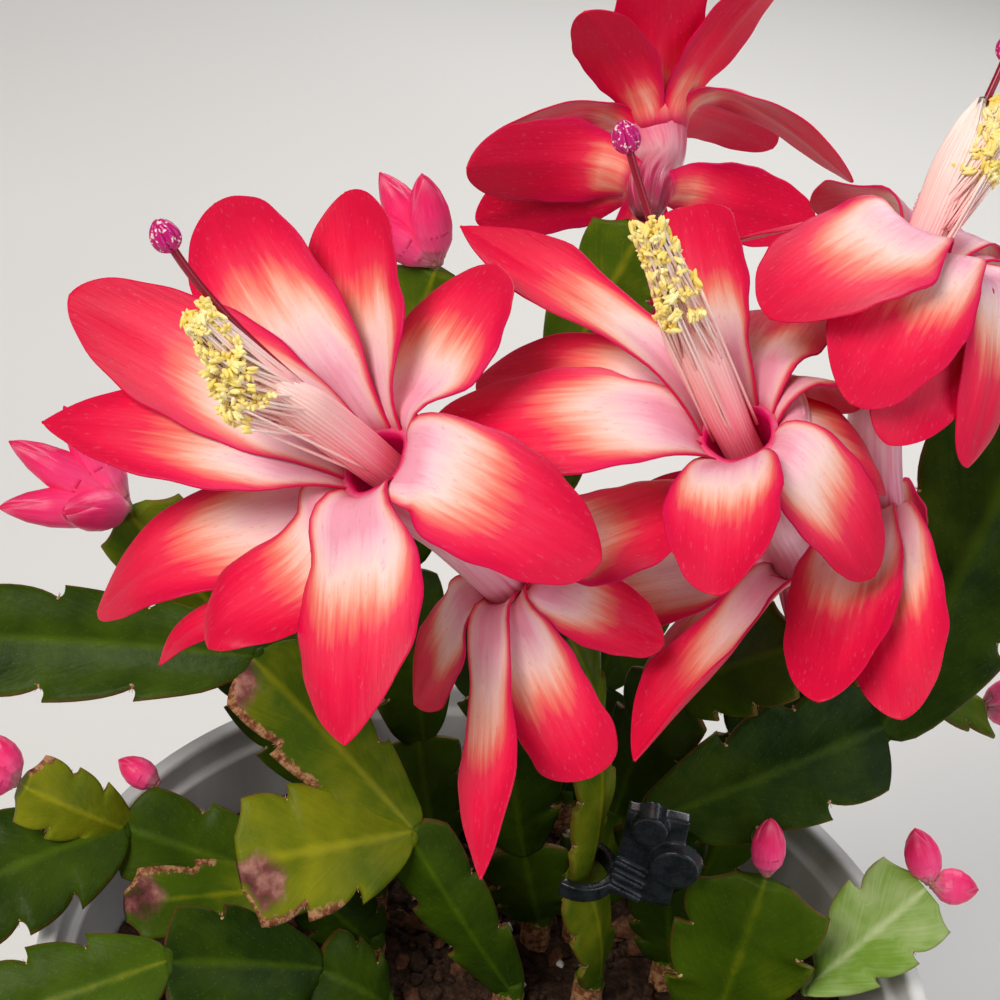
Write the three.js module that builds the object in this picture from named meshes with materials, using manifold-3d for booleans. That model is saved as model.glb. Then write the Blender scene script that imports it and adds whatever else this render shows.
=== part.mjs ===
// A potted christmas cactus: grey plastic pot, soil, chains of flat toothed stem segments,
// four open blooms, pink buds and a small plant clip.
// Millimetres, +Z up. The origin is the centre of the pot's underside, and -Y is the front.
import * as THREE from 'three';
import Module from 'manifold-3d';
import { mergeVertices } from 'three/addons/utils/BufferGeometryUtils.js';

const wasm = await Module();
wasm.setup();

// Driving dimensions of the pot
const POT_HEIGHT = 105;
const RIM_RADIUS = 60;
const RIM_BAND = 16;
const RIM_TOP_WIDTH = 2.6;
const RIM_ROUND = 1;
const RIM_DRAFT = 0.5;
const LEDGE_DROP = 4;
const LEDGE_WIDTH = 1.8;
const BASE_RADIUS = 42;
const WALL = 1.8;
const FLOOR = 2.4;
const DRAIN_HOLES = 4;
const DRAIN_RADIUS = 4;
const DRAIN_CIRCLE = 27;
const POT_SIDES = 32;
const DRAIN_SIDES = 8;

// Soil, and the gap that it and every other neighbour keeps. Round pieces have flat sides, so their
// gap is a little wider at the corners
const CLEARANCE = 0.3;
const ROUND_CLEARANCE = 0.4;
const SOIL_TOP = 92.5;
const SOIL_RELIEF = 0.66;
const SOIL_SHOULDER_DROP = 1.5;
const SOIL_CROWN_RADIUS = 36;
const SOIL_WAVES = [[0.29, 0.05, 1], [0.04, 0.23, 1], [0.41, -0.37, 0.6]];
const STUB_RADIUS = 2.1;
const STUB_DEPTH = 8;
const STUB_RISE = 5;
const STUB_HOLE_RADIUS = 2.75;
const STUB_SIDES = 6;
const STUB_TAPER = 0.9;

// Stem segments: thickness at the midrib and at the edge, and the waist of a joint
const MIDRIB = 2.6;
const BLADE_EDGE = 1.1;
const JOINT_HALF_WIDTH = 2.1;
const JOINT_THICKNESS = 3;
const JOINT_EDGE = 1.8;
const BLUNT_TIP = 0.4;
const BOW = 4.8;

// Half the outline of a stem segment, as [share of length, share of half width], with its teeth
const SEGMENT_OUTLINE = [[0.3, 0.84], [0.38, 0.7], [0.6, 1], [0.68, 0.82], [0.9, 0.9]];

// Tepals: thickness, the rows that cross one, its outline and how hollow it is across
const TEPAL_THICKNESS = 0.75;
const TEPAL_ROWS = [0, 0.2, 0.5, 0.82, 1];
const TEPAL_BASE_SHARE = 0.5;
const TEPAL_WIDEST = 0.45;
const TEPAL_TIP_HALF_WIDTH = 1;
const TEPAL_TIP_POWER = 2.3;
const TEPAL_BEND = 0.4;
const TEPAL_HOLLOW = 0.14;
const BASE_HOLLOW = 0.5;
const BASE_SHARE = 0.3;
const LINE_STEPS = 60;

// The two rings that tepals grow from: radius, angle from the axis at the start, and depth in the tube
const MOUTH_RING = { radius: 4, start: 15, sink: 1.4 };
const LOW_RING = { radius: 2.7, start: 30, sink: 0.3 };
const LOW_TIER = 0.24;

// Flower tube: [share of its length, outer radius] and the throat as [share, inner radius]
const TUBE_OUTSIDE = [[0, 1.6], [0.06, 2.7], [0.22, 3.1], [0.65, 3], [1, 4.3]];
const THROAT = [[1, 3.5], [0.86, 2.9], [0.66, 2.7]];
const TUBE_SIDES = 8;
const TUBE_PULL = 0.4;
const THROAT_FLOOR = 0.66;

// Stamens: one column that parts into filaments, each with an anther. Shares are of the bundle's length
const COLUMN_PROFILE = [[0, 1], [0.4, 1.1], [0.62, 0.8]];
const COLUMN_SIDES = 7;
const COLUMN_OFFSET = 1.2;
const COLUMN_RISE = 0.45;
const COLUMN_LEAD = 0.3;
const COLUMN_DROP = 0.6;
const FILAMENT_FOOT = 0.42;
const FILAMENT_KNEE = 0.62;
const FOOT_OFFSET = 0.45;
const KNEE_OFFSET = 0.9;
const FILAMENT_SIDES = 3;
const STAMEN_PROFILE = [[0, 0.45], [0.8, 0.4], [0.91, 0.95], [1, 0.4]];
const LOWEST_ANTHER = { at: 0.84, spread: 3.4 };
const HIGHEST_ANTHER = { at: 1.16, spread: 1.6 };
const FAN_START = 60;
const FAN_ANGLE = 240;
const GOLDEN_ANGLE = 2.39996;

// Style and its knob of stigma lobes
const STYLE_OFFSET = 1.5;
const STYLE_RISE = 0.44;
const STYLE_STAND = 2.6;
const STYLE_PROFILE = [[0, 0.5], [0.2, 0.5], [0.4, 0.5], [0.65, 0.5], [1, 0.5]];
const STIGMA_PROFILE = [[0, 0.6], [0.35, 1.5], [0.7, 1.35], [1, 0.5]];
const STIGMA_BELOW = 1;
const STIGMA_ABOVE = 2.4;
const STYLE_SIDES = 5;

// Buds: [share of length, share of radius], and how far the foot stands off the stem
const BUD_SIDES = 5;
const BUD_PROFILE = [[0, 0.26], [0.12, 0.45], [0.4, 1], [0.7, 0.86], [1, 0.14]];
const BUD_GAP = 0.8;

// Colours as seen on the plant
const GREY_PLASTIC = { color: '#9b9da1', roughness: 0.45, metalness: 0 };
const DARK_SOIL = { color: '#3b2a1f', roughness: 0.95, metalness: 0 };
const GREEN_STEM = { color: '#44691f', roughness: 0.5, metalness: 0 };
const YOUNG_STEM = { color: '#86ad4f', roughness: 0.5, metalness: 0 };
const RED_TEPAL = { color: '#e0324a', roughness: 0.5, metalness: 0 };
const CREAM_STAMEN = { color: '#f3d98a', roughness: 0.6, metalness: 0 };
const MAGENTA_STYLE = { color: '#b3124f', roughness: 0.45, metalness: 0 };
const PINK_BUD = { color: '#e2266f', roughness: 0.45, metalness: 0 };
const DARK_PLASTIC = { color: '#23282b', roughness: 0.35, metalness: 0 };

const plant = new THREE.Group();

// Small helpers
const vec = (p) => new THREE.Vector3(...p);
const rad = THREE.MathUtils.degToRad;
const lerp = THREE.MathUtils.lerp;
const smooth = (x) => THREE.MathUtils.smoothstep(x, 0, 1);
const direction = (from, to) => to.clone().sub(from).normalize();

// Solids: a closed mesh in, a joined or cut mesh out
function solidFromMesh(points, triangles) {
  const vertProperties = new Float32Array(points.flatMap((p) => p.toArray()));
  const triVerts = new Uint32Array(triangles.flat());
  return new wasm.Manifold(new wasm.Mesh({ numProp: 3, vertProperties, triVerts }));
}

function solidFromGeometry(geometry) {
  const bare = geometry.clone();
  bare.deleteAttribute('normal');
  bare.deleteAttribute('uv');
  const merged = mergeVertices(bare, 1e-4);
  const vertProperties = new Float32Array(merged.attributes.position.array);
  const triVerts = new Uint32Array(merged.index.array);
  return new wasm.Manifold(new wasm.Mesh({ numProp: 3, vertProperties, triVerts }));
}

function geometryFromSolid(solid) {
  const mesh = solid.getMesh();
  const geometry = new THREE.BufferGeometry();
  geometry.setAttribute('position', new THREE.BufferAttribute(mesh.vertProperties, mesh.numProp));
  geometry.setIndex(new THREE.BufferAttribute(mesh.triVerts, 1));
  geometry.computeVertexNormals();
  return geometry;
}

// Joined pieces grow as one body, so scraps and sealed hollows at the crossings are dropped
function joined(solids) {
  const bodies = solids.reduce((whole, piece) => whole.add(piece)).decompose();
  return bodies.reduce((largest, body) => (body.volume() > largest.volume() ? body : largest));
}

function addPiece(name, solid, look) {
  const mesh = new THREE.Mesh(geometryFromSolid(solid), new THREE.MeshStandardMaterial(look));
  mesh.name = name;
  plant.add(mesh);
}

// A closed body through rings of equal size, with a flat cap on each end
function loft(rings) {
  const sides = rings[0].length;
  const triangles = [];
  for (let r = 0; r < rings.length - 1; r += 1) {
    for (let i = 0; i < sides; i += 1) {
      const a = r * sides + i;
      const b = r * sides + (i + 1) % sides;
      triangles.push([a, b, b + sides], [a, b + sides, a + sides]);
    }
  }
  const last = (rings.length - 1) * sides;
  for (let i = 1; i < sides - 1; i += 1) {
    triangles.push([0, i + 1, i], [last, last + i, last + i + 1]);
  }
  return solidFromMesh(rings.flat(), triangles);
}

// A thin blade from two grids of points, rows by columns, split alike on both faces
function blade(upper, lower) {
  const rows = upper.length;
  const columns = upper[0].length;
  const under = rows * columns;
  const triangles = [];
  const at = (r, c) => r * columns + c;
  for (let r = 0; r < rows - 1; r += 1) {
    for (let c = 0; c < columns - 1; c += 1) {
      const [p, q, s, t] = [at(r, c), at(r, c + 1), at(r + 1, c + 1), at(r + 1, c)];
      triangles.push([p, s, q], [p, t, s]);
      triangles.push([under + p, under + q, under + s], [under + p, under + s, under + t]);
    }
  }
  const border = [];
  for (let c = 0; c < columns - 1; c += 1) border.push(at(0, c));
  for (let r = 0; r < rows - 1; r += 1) border.push(at(r, columns - 1));
  for (let c = columns - 1; c > 0; c -= 1) border.push(at(rows - 1, c));
  for (let r = rows - 1; r > 0; r -= 1) border.push(at(r, 0));
  border.forEach((a, i) => {
    const b = border[(i + 1) % border.length];
    triangles.push([a, b, under + a], [b, under + b, under + a]);
  });
  return solidFromMesh([...upper.flat(), ...lower.flat()], triangles);
}

// A ring of points round a centre, square to a direction
function ringAt(centre, along, sideways, radius, sides) {
  const across = new THREE.Vector3().crossVectors(along, sideways).normalize();
  const first = new THREE.Vector3().crossVectors(across, along).normalize();
  return Array.from({ length: sides }, (_, i) => {
    const angle = 2 * Math.PI * i / sides;
    return centre.clone()
      .addScaledVector(first, Math.cos(angle) * radius)
      .addScaledVector(across, Math.sin(angle) * radius);
  });
}

// A round body along a curve, with its radius from a table of [share of length, radius]
function roundAlong(curve, table, sides, sideways = new THREE.Vector3(0.3, 0.2, 0.93)) {
  const rings = table.map(([t, radius]) => (
    ringAt(curve.getPoint(t), curve.getTangent(t), sideways, radius, sides)
  ));
  return loft(rings);
}

// Pot: a rolled rim with an inner ledge, a tapered wall and a floor with drain holes
function innerRadius(z) {
  const top = RIM_RADIUS - RIM_TOP_WIDTH - LEDGE_WIDTH;
  return lerp(BASE_RADIUS - WALL, top, (z - FLOOR) / (POT_HEIGHT - LEDGE_DROP - FLOOR));
}

function makePot() {
  const ledge = POT_HEIGHT - LEDGE_DROP;
  const band = POT_HEIGHT - RIM_BAND;
  const rimInside = RIM_RADIUS - RIM_TOP_WIDTH;
  const profile = [
    [0, 0],
    [BASE_RADIUS, 0],
    [innerRadius(band) + WALL, band],
    [RIM_RADIUS - RIM_DRAFT, band],
    [RIM_RADIUS, POT_HEIGHT - RIM_ROUND],
    [RIM_RADIUS - RIM_ROUND, POT_HEIGHT],
    [rimInside, POT_HEIGHT],
    [rimInside - RIM_DRAFT, ledge],
    [innerRadius(ledge), ledge],
    [innerRadius(FLOOR), FLOOR],
    [0, FLOOR],
  ].map(([x, y]) => new THREE.Vector2(x, y));
  const body = new THREE.LatheGeometry(profile, POT_SIDES).rotateX(Math.PI / 2);
  let pot = solidFromGeometry(body);
  for (let i = 0; i < DRAIN_HOLES; i += 1) {
    const angle = 2 * Math.PI * i / DRAIN_HOLES;
    const drill = new THREE.CylinderGeometry(DRAIN_RADIUS, DRAIN_RADIUS, FLOOR * 3, DRAIN_SIDES)
      .rotateX(Math.PI / 2)
      .translate(DRAIN_CIRCLE * Math.cos(angle), DRAIN_CIRCLE * Math.sin(angle), FLOOR / 2);
    pot = pot.subtract(solidFromGeometry(drill));
  }
  addPiece('pot', pot, GREY_PLASTIC);
}

// Soil: fills the pot, with a lumpy top and a plain hole for each stem
function makeSoil(roots) {
  const bottom = FLOOR + CLEARANCE;
  const shoulder = SOIL_TOP - SOIL_SHOULDER_DROP;
  const profile = [
    [0, bottom],
    [innerRadius(bottom) - ROUND_CLEARANCE, bottom],
    [innerRadius(shoulder) - ROUND_CLEARANCE, shoulder],
    [SOIL_CROWN_RADIUS, SOIL_TOP],
    [0, SOIL_TOP],
  ].map(([x, y]) => new THREE.Vector2(x, y));
  const body = new THREE.LatheGeometry(profile, POT_SIDES).rotateX(Math.PI / 2);
  const points = body.attributes.position;
  for (let i = 0; i < points.count; i += 1) {
    const [x, y, z] = [points.getX(i), points.getY(i), points.getZ(i)];
    const lumps = SOIL_WAVES.reduce((sum, [a, b, height]) => sum + height * Math.sin(a * x + b * y), 0);
    if (z > shoulder + CLEARANCE) points.setZ(i, z + SOIL_RELIEF * lumps);
  }
  let soil = solidFromGeometry(body);
  roots.forEach(([x, y]) => {
    const [radius, depth] = [STUB_HOLE_RADIUS, 2 * STUB_DEPTH];
    const hole = new THREE.CylinderGeometry(radius, radius, depth, STUB_SIDES)
      .rotateX(Math.PI / 2)
      .translate(x, y, SOIL_TOP - CLEARANCE);
    soil = soil.subtract(solidFromGeometry(hole));
  });
  addPiece('soil', soil, DARK_SOIL);
}

// A six-sided section of a blade: thick at the midrib, thin at both edges
function bladeSection(centre, sideways, normal, half, midrib, edge) {
  const section = [[-1, edge], [0, midrib], [1, edge], [1, -edge], [0, -midrib], [-1, -edge]];
  return section.map(([side, thickness]) => centre.clone()
    .addScaledVector(sideways, side * half)
    .addScaledVector(normal, thickness / 2));
}

// A chain of flat segments in one body. `path` is a list of [joint, width, face]: each segment ends
// at its joint, faces a given way, and bows a little towards that face
function chainRings(from, path) {
  const rings = [];
  let start = from;
  let previous = null;
  path.forEach(([joint, width, face], index) => {
    const end = vec(joint);
    const along = direction(start, end);
    const sideways = new THREE.Vector3().crossVectors(along, vec(face)).normalize();
    const normal = new THREE.Vector3().crossVectors(sideways, along).normalize();
    const waist = previous ? sideways.clone().add(previous.sideways).normalize() : sideways;
    const out = previous ? normal.clone().add(previous.normal).normalize() : normal;
    rings.push(bladeSection(start, waist, out, JOINT_HALF_WIDTH, JOINT_THICKNESS, JOINT_EDGE));
    SEGMENT_OUTLINE.forEach(([u, share]) => {
      const centre = start.clone().lerp(end, u).addScaledVector(normal, BOW * u * (1 - u));
      rings.push(bladeSection(centre, sideways, normal, share * width / 2, MIDRIB, BLADE_EDGE));
    });
    if (index === path.length - 1) {
      rings.push(bladeSection(end, sideways, normal, BLUNT_TIP * width / 2, MIDRIB, BLADE_EDGE));
    }
    previous = { sideways, normal };
    start = end;
  });
  return rings;
}

// A leafy stem: a round foot in the soil, a chain on it, and side chains that branch from joints
function makeStem(name, { root, path, branches = [], look = GREEN_STEM }) {
  const collar = vec([...root, SOIL_TOP + STUB_RISE]);
  const foot = vec([...root, SOIL_TOP - STUB_DEPTH]);
  const chain = chainRings(collar, path);
  const facing = new THREE.Vector3().crossVectors(new THREE.Vector3(0, 0, 1), vec(path[0][2])).negate();
  const stub = [foot, foot.clone().lerp(collar, STUB_TAPER)].map((centre) => (
    ringAt(centre, new THREE.Vector3(0, 0, 1), facing, STUB_RADIUS, STUB_SIDES)
  ));
  const pieces = [loft([...stub, ...chain])];
  branches.forEach((branch) => pieces.push(loft(chainRings(vec(branch.from), branch.path))));
  addPiece(name, joined(pieces), look);
}

// Ways that a blade faces
const TO_VIEWER = [0, -0.9, 0.45];
const UPWARD = [0.05, -0.5, 0.85];
const EDGE_ON = [0.88, -0.46, 0.1];
const TO_LEFT = [-0.6, -0.7, 0.4];
const TO_RIGHT = [0.5, -0.75, 0.4];

const STEMS = {
  stem_left_front: {
    root: [3, 4],
    path: [[[-14, 3, 125], 10, TO_VIEWER], [[-37, 12, 141], 13, UPWARD], [[-76, 13, 136], 16, UPWARD]],
    branches: [{ from: [-14, 2.5, 124.5], path: [[[-34, -7, 124], 17, [0.1, -0.7, 0.7]]] }],
  },
  stem_mid: {
    root: [14, 8],
    path: [[[9, 5, 119], 10, EDGE_ON], [[7, 6, 143], 10, EDGE_ON], [[-0.1, -7.4, 168.2], 10, EDGE_ON]],
  },
  stem_inner: {
    root: [6, 18],
    path: [
      [[2, 16, 112], 12, TO_VIEWER],
      [[-3, 16, 132], 13, TO_VIEWER],
      [[-9, 19, 152], 12, TO_VIEWER],
    ],
  },
  stem_centre: {
    root: [12, 22],
    path: [
      [[15, 22, 116], 13, TO_VIEWER],
      [[18, 21, 140], 14, TO_LEFT],
      [[29.3, 6.4, 160.8], 13, TO_LEFT],
    ],
  },
  stem_right: {
    root: [25, 14],
    path: [
      [[22, 13, 112], 11, TO_VIEWER],
      [[18, 9, 128], 12, TO_VIEWER],
      [[46, 21, 139], 17, [-0.25, -0.85, 0.4]],
      [[59, 42, 177], 24, [-0.1, -0.9, 0.45]],
    ],
  },
  stem_right_back: {
    root: [28, 26],
    path: [
      [[32, 30, 118], 12, TO_VIEWER],
      [[33.5, 29, 147], 14, TO_VIEWER],
      [[37.5, 2.8, 167.2], 13, TO_RIGHT],
    ],
  },
  stem_back: {
    root: [0, 34],
    path: [
      [[0, 40, 114], 12, TO_VIEWER],
      [[-3, 47, 142], 14, TO_VIEWER],
      [[-3, 51, 168], 15, TO_LEFT],
      [[4.4, 50.7, 191], 13, TO_VIEWER],
    ],
  },
  stem_back_left: {
    root: [-10, 28],
    path: [
      [[-15, 33, 114], 12, TO_VIEWER],
      [[-22, 36, 140], 14, TO_RIGHT],
      [[-25, 38, 165], 15, TO_VIEWER],
      [[-21, 38, 187], 13, TO_VIEWER],
    ],
  },
  stem_left_back: {
    root: [-18, 19],
    path: [
      [[-27, 25, 110], 12, TO_VIEWER],
      [[-42, 30, 132], 14, TO_VIEWER],
      [[-56, 25, 152], 13, TO_VIEWER],
    ],
  },
  stem_left: {
    root: [-17, 9],
    path: [
      [[-25, 8, 106], 11, TO_VIEWER],
      [[-51.9, 6.7, 113.6], 13, [0, -0.7, 0.7]],
      [[-64, 2.4, 122.6], 10, [-0.2, -0.7, 0.7]],
    ],
    branches: [
      { from: [-25, 8, 106], path: [[[-49, -3, 109], 10, [0.1, -0.5, 0.85]]] },
      { from: [-51.9, 6.2, 113.6], path: [[[-72, -7, 109], 17, [-0.1, -0.6, 0.8]]] },
    ],
  },
  stem_left_low: {
    root: [-14, -3],
    path: [[[-23, -7, 107], 13, UPWARD], [[-41, -15, 113], 15, UPWARD], [[-62, -24, 106], 15, UPWARD]],
  },
  stem_right_front: {
    root: [31, 2],
    path: [[[33, 5, 123.5], 19, [-0.15, -0.95, 0.25]]],
  },
  stem_right_low: {
    root: [38, 12],
    path: [[[43, 5, 106.5], 10, [0.4, -0.5, 0.75]], [[56, 12.5, 119.5], 14, [-0.1, -0.75, 0.65]]],
    look: YOUNG_STEM,
  },
  stem_far_right: {
    root: [25, 36],
    path: [
      [[36, 42, 112], 12, UPWARD],
      [[52, 50, 124], 15, [0, -0.2, 1]],
      [[70, 58, 116], 15, [0.3, 0, 1]],
    ],
  },
  stem_far: {
    root: [8, 44],
    path: [
      [[11, 54, 112], 12, [0, -0.5, 0.85]],
      [[15, 70, 125], 15, [0, -0.4, 0.9]],
      [[18, 88, 118], 15, [0, 0.3, 1]],
    ],
  },
  stem_far_left: {
    root: [-24, 34],
    path: [
      [[-34, 44, 112], 12, UPWARD],
      [[-48, 57, 127], 15, [0, -0.2, 1]],
      [[-62, 70, 120], 15, [-0.2, 0.2, 1]],
    ],
  },
  stem_front: {
    root: [0, -18],
    path: [
      [[-2, -28, 109], 12, [0, 0.5, 0.85]],
      [[-5, -46, 120], 15, [0, 0.4, 0.9]],
      [[-8, -66, 113], 16, [0, -0.3, 1]],
    ],
  },
  stem_front_right: {
    root: [18, -12],
    path: [
      [[29, -21, 108], 12, UPWARD],
      [[44, -34, 119], 15, [0, 0.2, 1]],
      [[60, -47, 112], 15, [0.3, -0.2, 1]],
    ],
  },
  stem_front_left: {
    root: [-18, -20],
    path: [
      [[-28, -31, 108], 12, UPWARD],
      [[-42, -44, 118], 15, [0, 0.2, 1]],
      [[-54, -58, 110], 15, [-0.2, -0.2, 1]],
    ],
  },
};

// Blooms. A tepal is [clock, lean, length, width, bend]: where it stands round the axis, the angle
// from the axis that it bends to, its size, and the share of its length in which it bends.
const BLOOMS = {
  left: {
    base: [-0.8, -7.7, 169.2],
    rise: [-0.61, -0.25, 0.76],
    mouth: [-21.5, -17, 193],
    aim: [-0.63, -0.29, 0.72],
    inner: [
      [241, 55, 36, 13, 0.41],
      [217, 66, 34.5, 14, 0.48],
      [200, 98, 37, 11.5, 0.25],
      [164, 96, 23, 12, 0.34],
      [127, 108, 27, 15.5, 0.2],
      [56, 147, 27.6, 14, 0.4],
      [326, 97, 23, 13, 0.2],
      [297, 78, 30, 13, 0.35],
      [273, 75, 37, 14, 0.5],
      [180, 98, 29, 10, 0.2],
    ],
    outer: [
      [188, 125, 19.5, 11, 0.25],
      [123, 103, 32, 9, 0.2],
      [108, 139, 22.5, 9.5, 0.2],
      [4, 110, 20.5, 14, 0.25],
      [48, 148, 18, 9, 0.25],
    ],
    anthers: [-36.5, -25.2, 206.8],
    stigma: [-41.5, -23.2, 216.9],
    stamens: 10,
  },
  centre: {
    base: [29.5, 6.3, 163.1],
    rise: [-0.14, 0.16, 0.98],
    mouth: [14.8, -5.4, 195.9],
    aim: [-0.37, -0.32, 0.87],
    inner: [
      [260, 78, 38, 10, 0.5],
      [244, 110, 33.5, 11, 0.55],
      [215, 79, 31.5, 14, 0.45],
      [303, 86, 28, 11, 0.38],
      [323, 125, 23.5, 11, 0.3],
      [343, 166, 24, 10.5, 0.44],
      [30, 166, 24, 10, 0.42],
      [82, 158, 24, 10, 0.4],
      [135, 93, 21, 12, 0.45],
    ],
    outer: [
      [207, 94, 34, 13, 0.2],
      [150, 86, 34, 11.5, 0.22],
      [193, 130, 25.5, 10, 0.2],
      [250, 100, 24, 10, 0.4],
    ],
    anthers: [2.5, -8.2, 215],
    stigma: [-1.7, -4.1, 224.9],
    stamens: 10,
  },
  right: {
    base: [37.2, 3.3, 170.3],
    rise: [-0.2, 0.54, 0.81],
    mouth: [33.3, 13.6, 210.5],
    aim: [0.34, 0.3, 0.89],
    inner: [
      [65, 132, 23, 9, 0.3],
      [356, 136, 25.5, 14, 0.3],
      [325, 157, 28, 13, 0.4],
      [303, 162, 28, 12, 0.35],
      [262, 158, 27, 11, 0.35],
      [200, 115, 26, 10, 0.4],
      [160, 105, 27, 11, 0.4],
      [115, 110, 26, 11, 0.4],
    ],
    outer: [
      [62, 117, 31.5, 12, 0.2],
      [46, 132, 30, 12, 0.25],
      [232, 140, 26, 10, 0.3],
      [190, 125, 22, 10, 0.4],
    ],
    anthers: [34.9, 20, 223.6],
    stigma: [37.9, 25, 229.6],
    stamens: 9,
  },
  top: {
    base: [4.8, 51.4, 192.6],
    rise: [-0.14, 0.86, 0.49],
    mouth: [4.9, 75.9, 195.2],
    aim: [-0.31, 0.66, 0.69],
    inner: [
      [15, 62, 29, 13],
      [42, 78, 25, 10],
      [300, 140, 32, 11],
      [335, 70, 28, 11],
      [95, 110, 27, 11],
      [145, 100, 27, 11],
      [195, 90, 27, 11],
      [245, 100, 27, 11],
    ],
    outer: [
      [88, 125, 26, 12],
      [114, 100, 24, 11],
      [262, 90, 22, 11],
      [180, 110, 22, 10],
    ],
    anthers: [-2, 92, 214],
    stigma: [-14, 94, 219],
    stamens: 7,
  },
};

// A frame on a bloom's axis: clock 0 is uppermost, and clocks run as seen from in front
function axisFrame(centre, aim) {
  const axis = aim.clone().normalize();
  const up = new THREE.Vector3(0, 0, 1).projectOnPlane(axis).normalize();
  return { centre, axis, up, side: new THREE.Vector3().crossVectors(up, axis) };
}

// How far out and how high the middle line of a tepal has come at each of its rows
function tepalLine(start, lean, length, bend) {
  const angle = (s) => rad(lerp(start, lean, smooth(s / bend)));
  let [out, high] = [0, 0];
  const line = [];
  TEPAL_ROWS.forEach((row, i) => {
    const from = i === 0 ? 0 : TEPAL_ROWS[i - 1];
    for (let k = 0; k < LINE_STEPS && row > 0; k += 1) {
      const s = lerp(from, row, (k + 0.5) / LINE_STEPS);
      out += Math.sin(angle(s)) * length * (row - from) / LINE_STEPS;
      high += Math.cos(angle(s)) * length * (row - from) / LINE_STEPS;
    }
    line.push({ out, high, angle: angle(row) });
  });
  return line;
}

function tepalHalfWidth(s, width) {
  const rise = lerp(TEPAL_BASE_SHARE, 1, smooth(s / TEPAL_WIDEST));
  const past = Math.max(0, (s - TEPAL_WIDEST) / (1 - TEPAL_WIDEST));
  const fall = Math.sqrt(Math.max(0, 1 - past ** TEPAL_TIP_POWER));
  return Math.max(TEPAL_TIP_HALF_WIDTH, rise * fall * width / 2);
}

function tepal(frame, [clock, lean, length, width, bend = TEPAL_BEND], { radius, start, sink }) {
  const angle = rad(clock);
  const outward = frame.up.clone()
    .multiplyScalar(Math.cos(angle))
    .addScaledVector(frame.side, Math.sin(angle));
  const across = new THREE.Vector3().crossVectors(frame.axis, outward);
  const upper = [];
  const lower = [];
  tepalLine(start, lean, length, bend).forEach((row, i) => {
    const s = TEPAL_ROWS[i];
    const half = tepalHalfWidth(s, width);
    const middle = frame.centre.clone()
      .addScaledVector(outward, radius + row.out)
      .addScaledVector(frame.axis, row.high - sink);
    const normal = outward.clone().multiplyScalar(-Math.cos(row.angle))
      .addScaledVector(frame.axis, Math.sin(row.angle));
    const hollow = TEPAL_HOLLOW + BASE_HOLLOW * Math.max(0, 1 - s / BASE_SHARE);
    const place = (v, offset) => middle.clone()
      .addScaledVector(across, v * half)
      .addScaledVector(normal, half * hollow * v * v + offset);
    upper.push([-1, 0, 1].map((v) => place(v, TEPAL_THICKNESS / 2)));
    lower.push([-1, 0, 1].map((v) => place(v, -TEPAL_THICKNESS / 2)));
  });
  return blade(upper, lower);
}

function makeBloom(name, bloom) {
  const base = vec(bloom.base);
  const mouth = vec(bloom.mouth);
  const pull = base.distanceTo(mouth) * TUBE_PULL;
  const aim = vec(bloom.aim).normalize();
  const tube = new THREE.CubicBezierCurve3(
    base,
    base.clone().addScaledVector(vec(bloom.rise).normalize(), pull),
    mouth.clone().addScaledVector(aim, -pull),
    mouth,
  );
  const top = axisFrame(mouth, aim);
  const low = axisFrame(tube.getPoint(LOW_TIER), tube.getTangent(LOW_TIER));
  const rings = [...TUBE_OUTSIDE, ...THROAT].map(([t, radius]) => (
    ringAt(tube.getPoint(t), tube.getTangent(t), top.up, radius, TUBE_SIDES)
  ));
  const tepals = [
    loft(rings),
    ...bloom.inner.map((row) => tepal(top, row, MOUTH_RING)),
    ...bloom.outer.map((row) => tepal(low, row, LOW_RING)),
  ];
  addPiece(`bloom_${name}_tepals`, joined(tepals), RED_TEPAL);
  makeStamens(name, bloom, tube);
}

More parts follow.
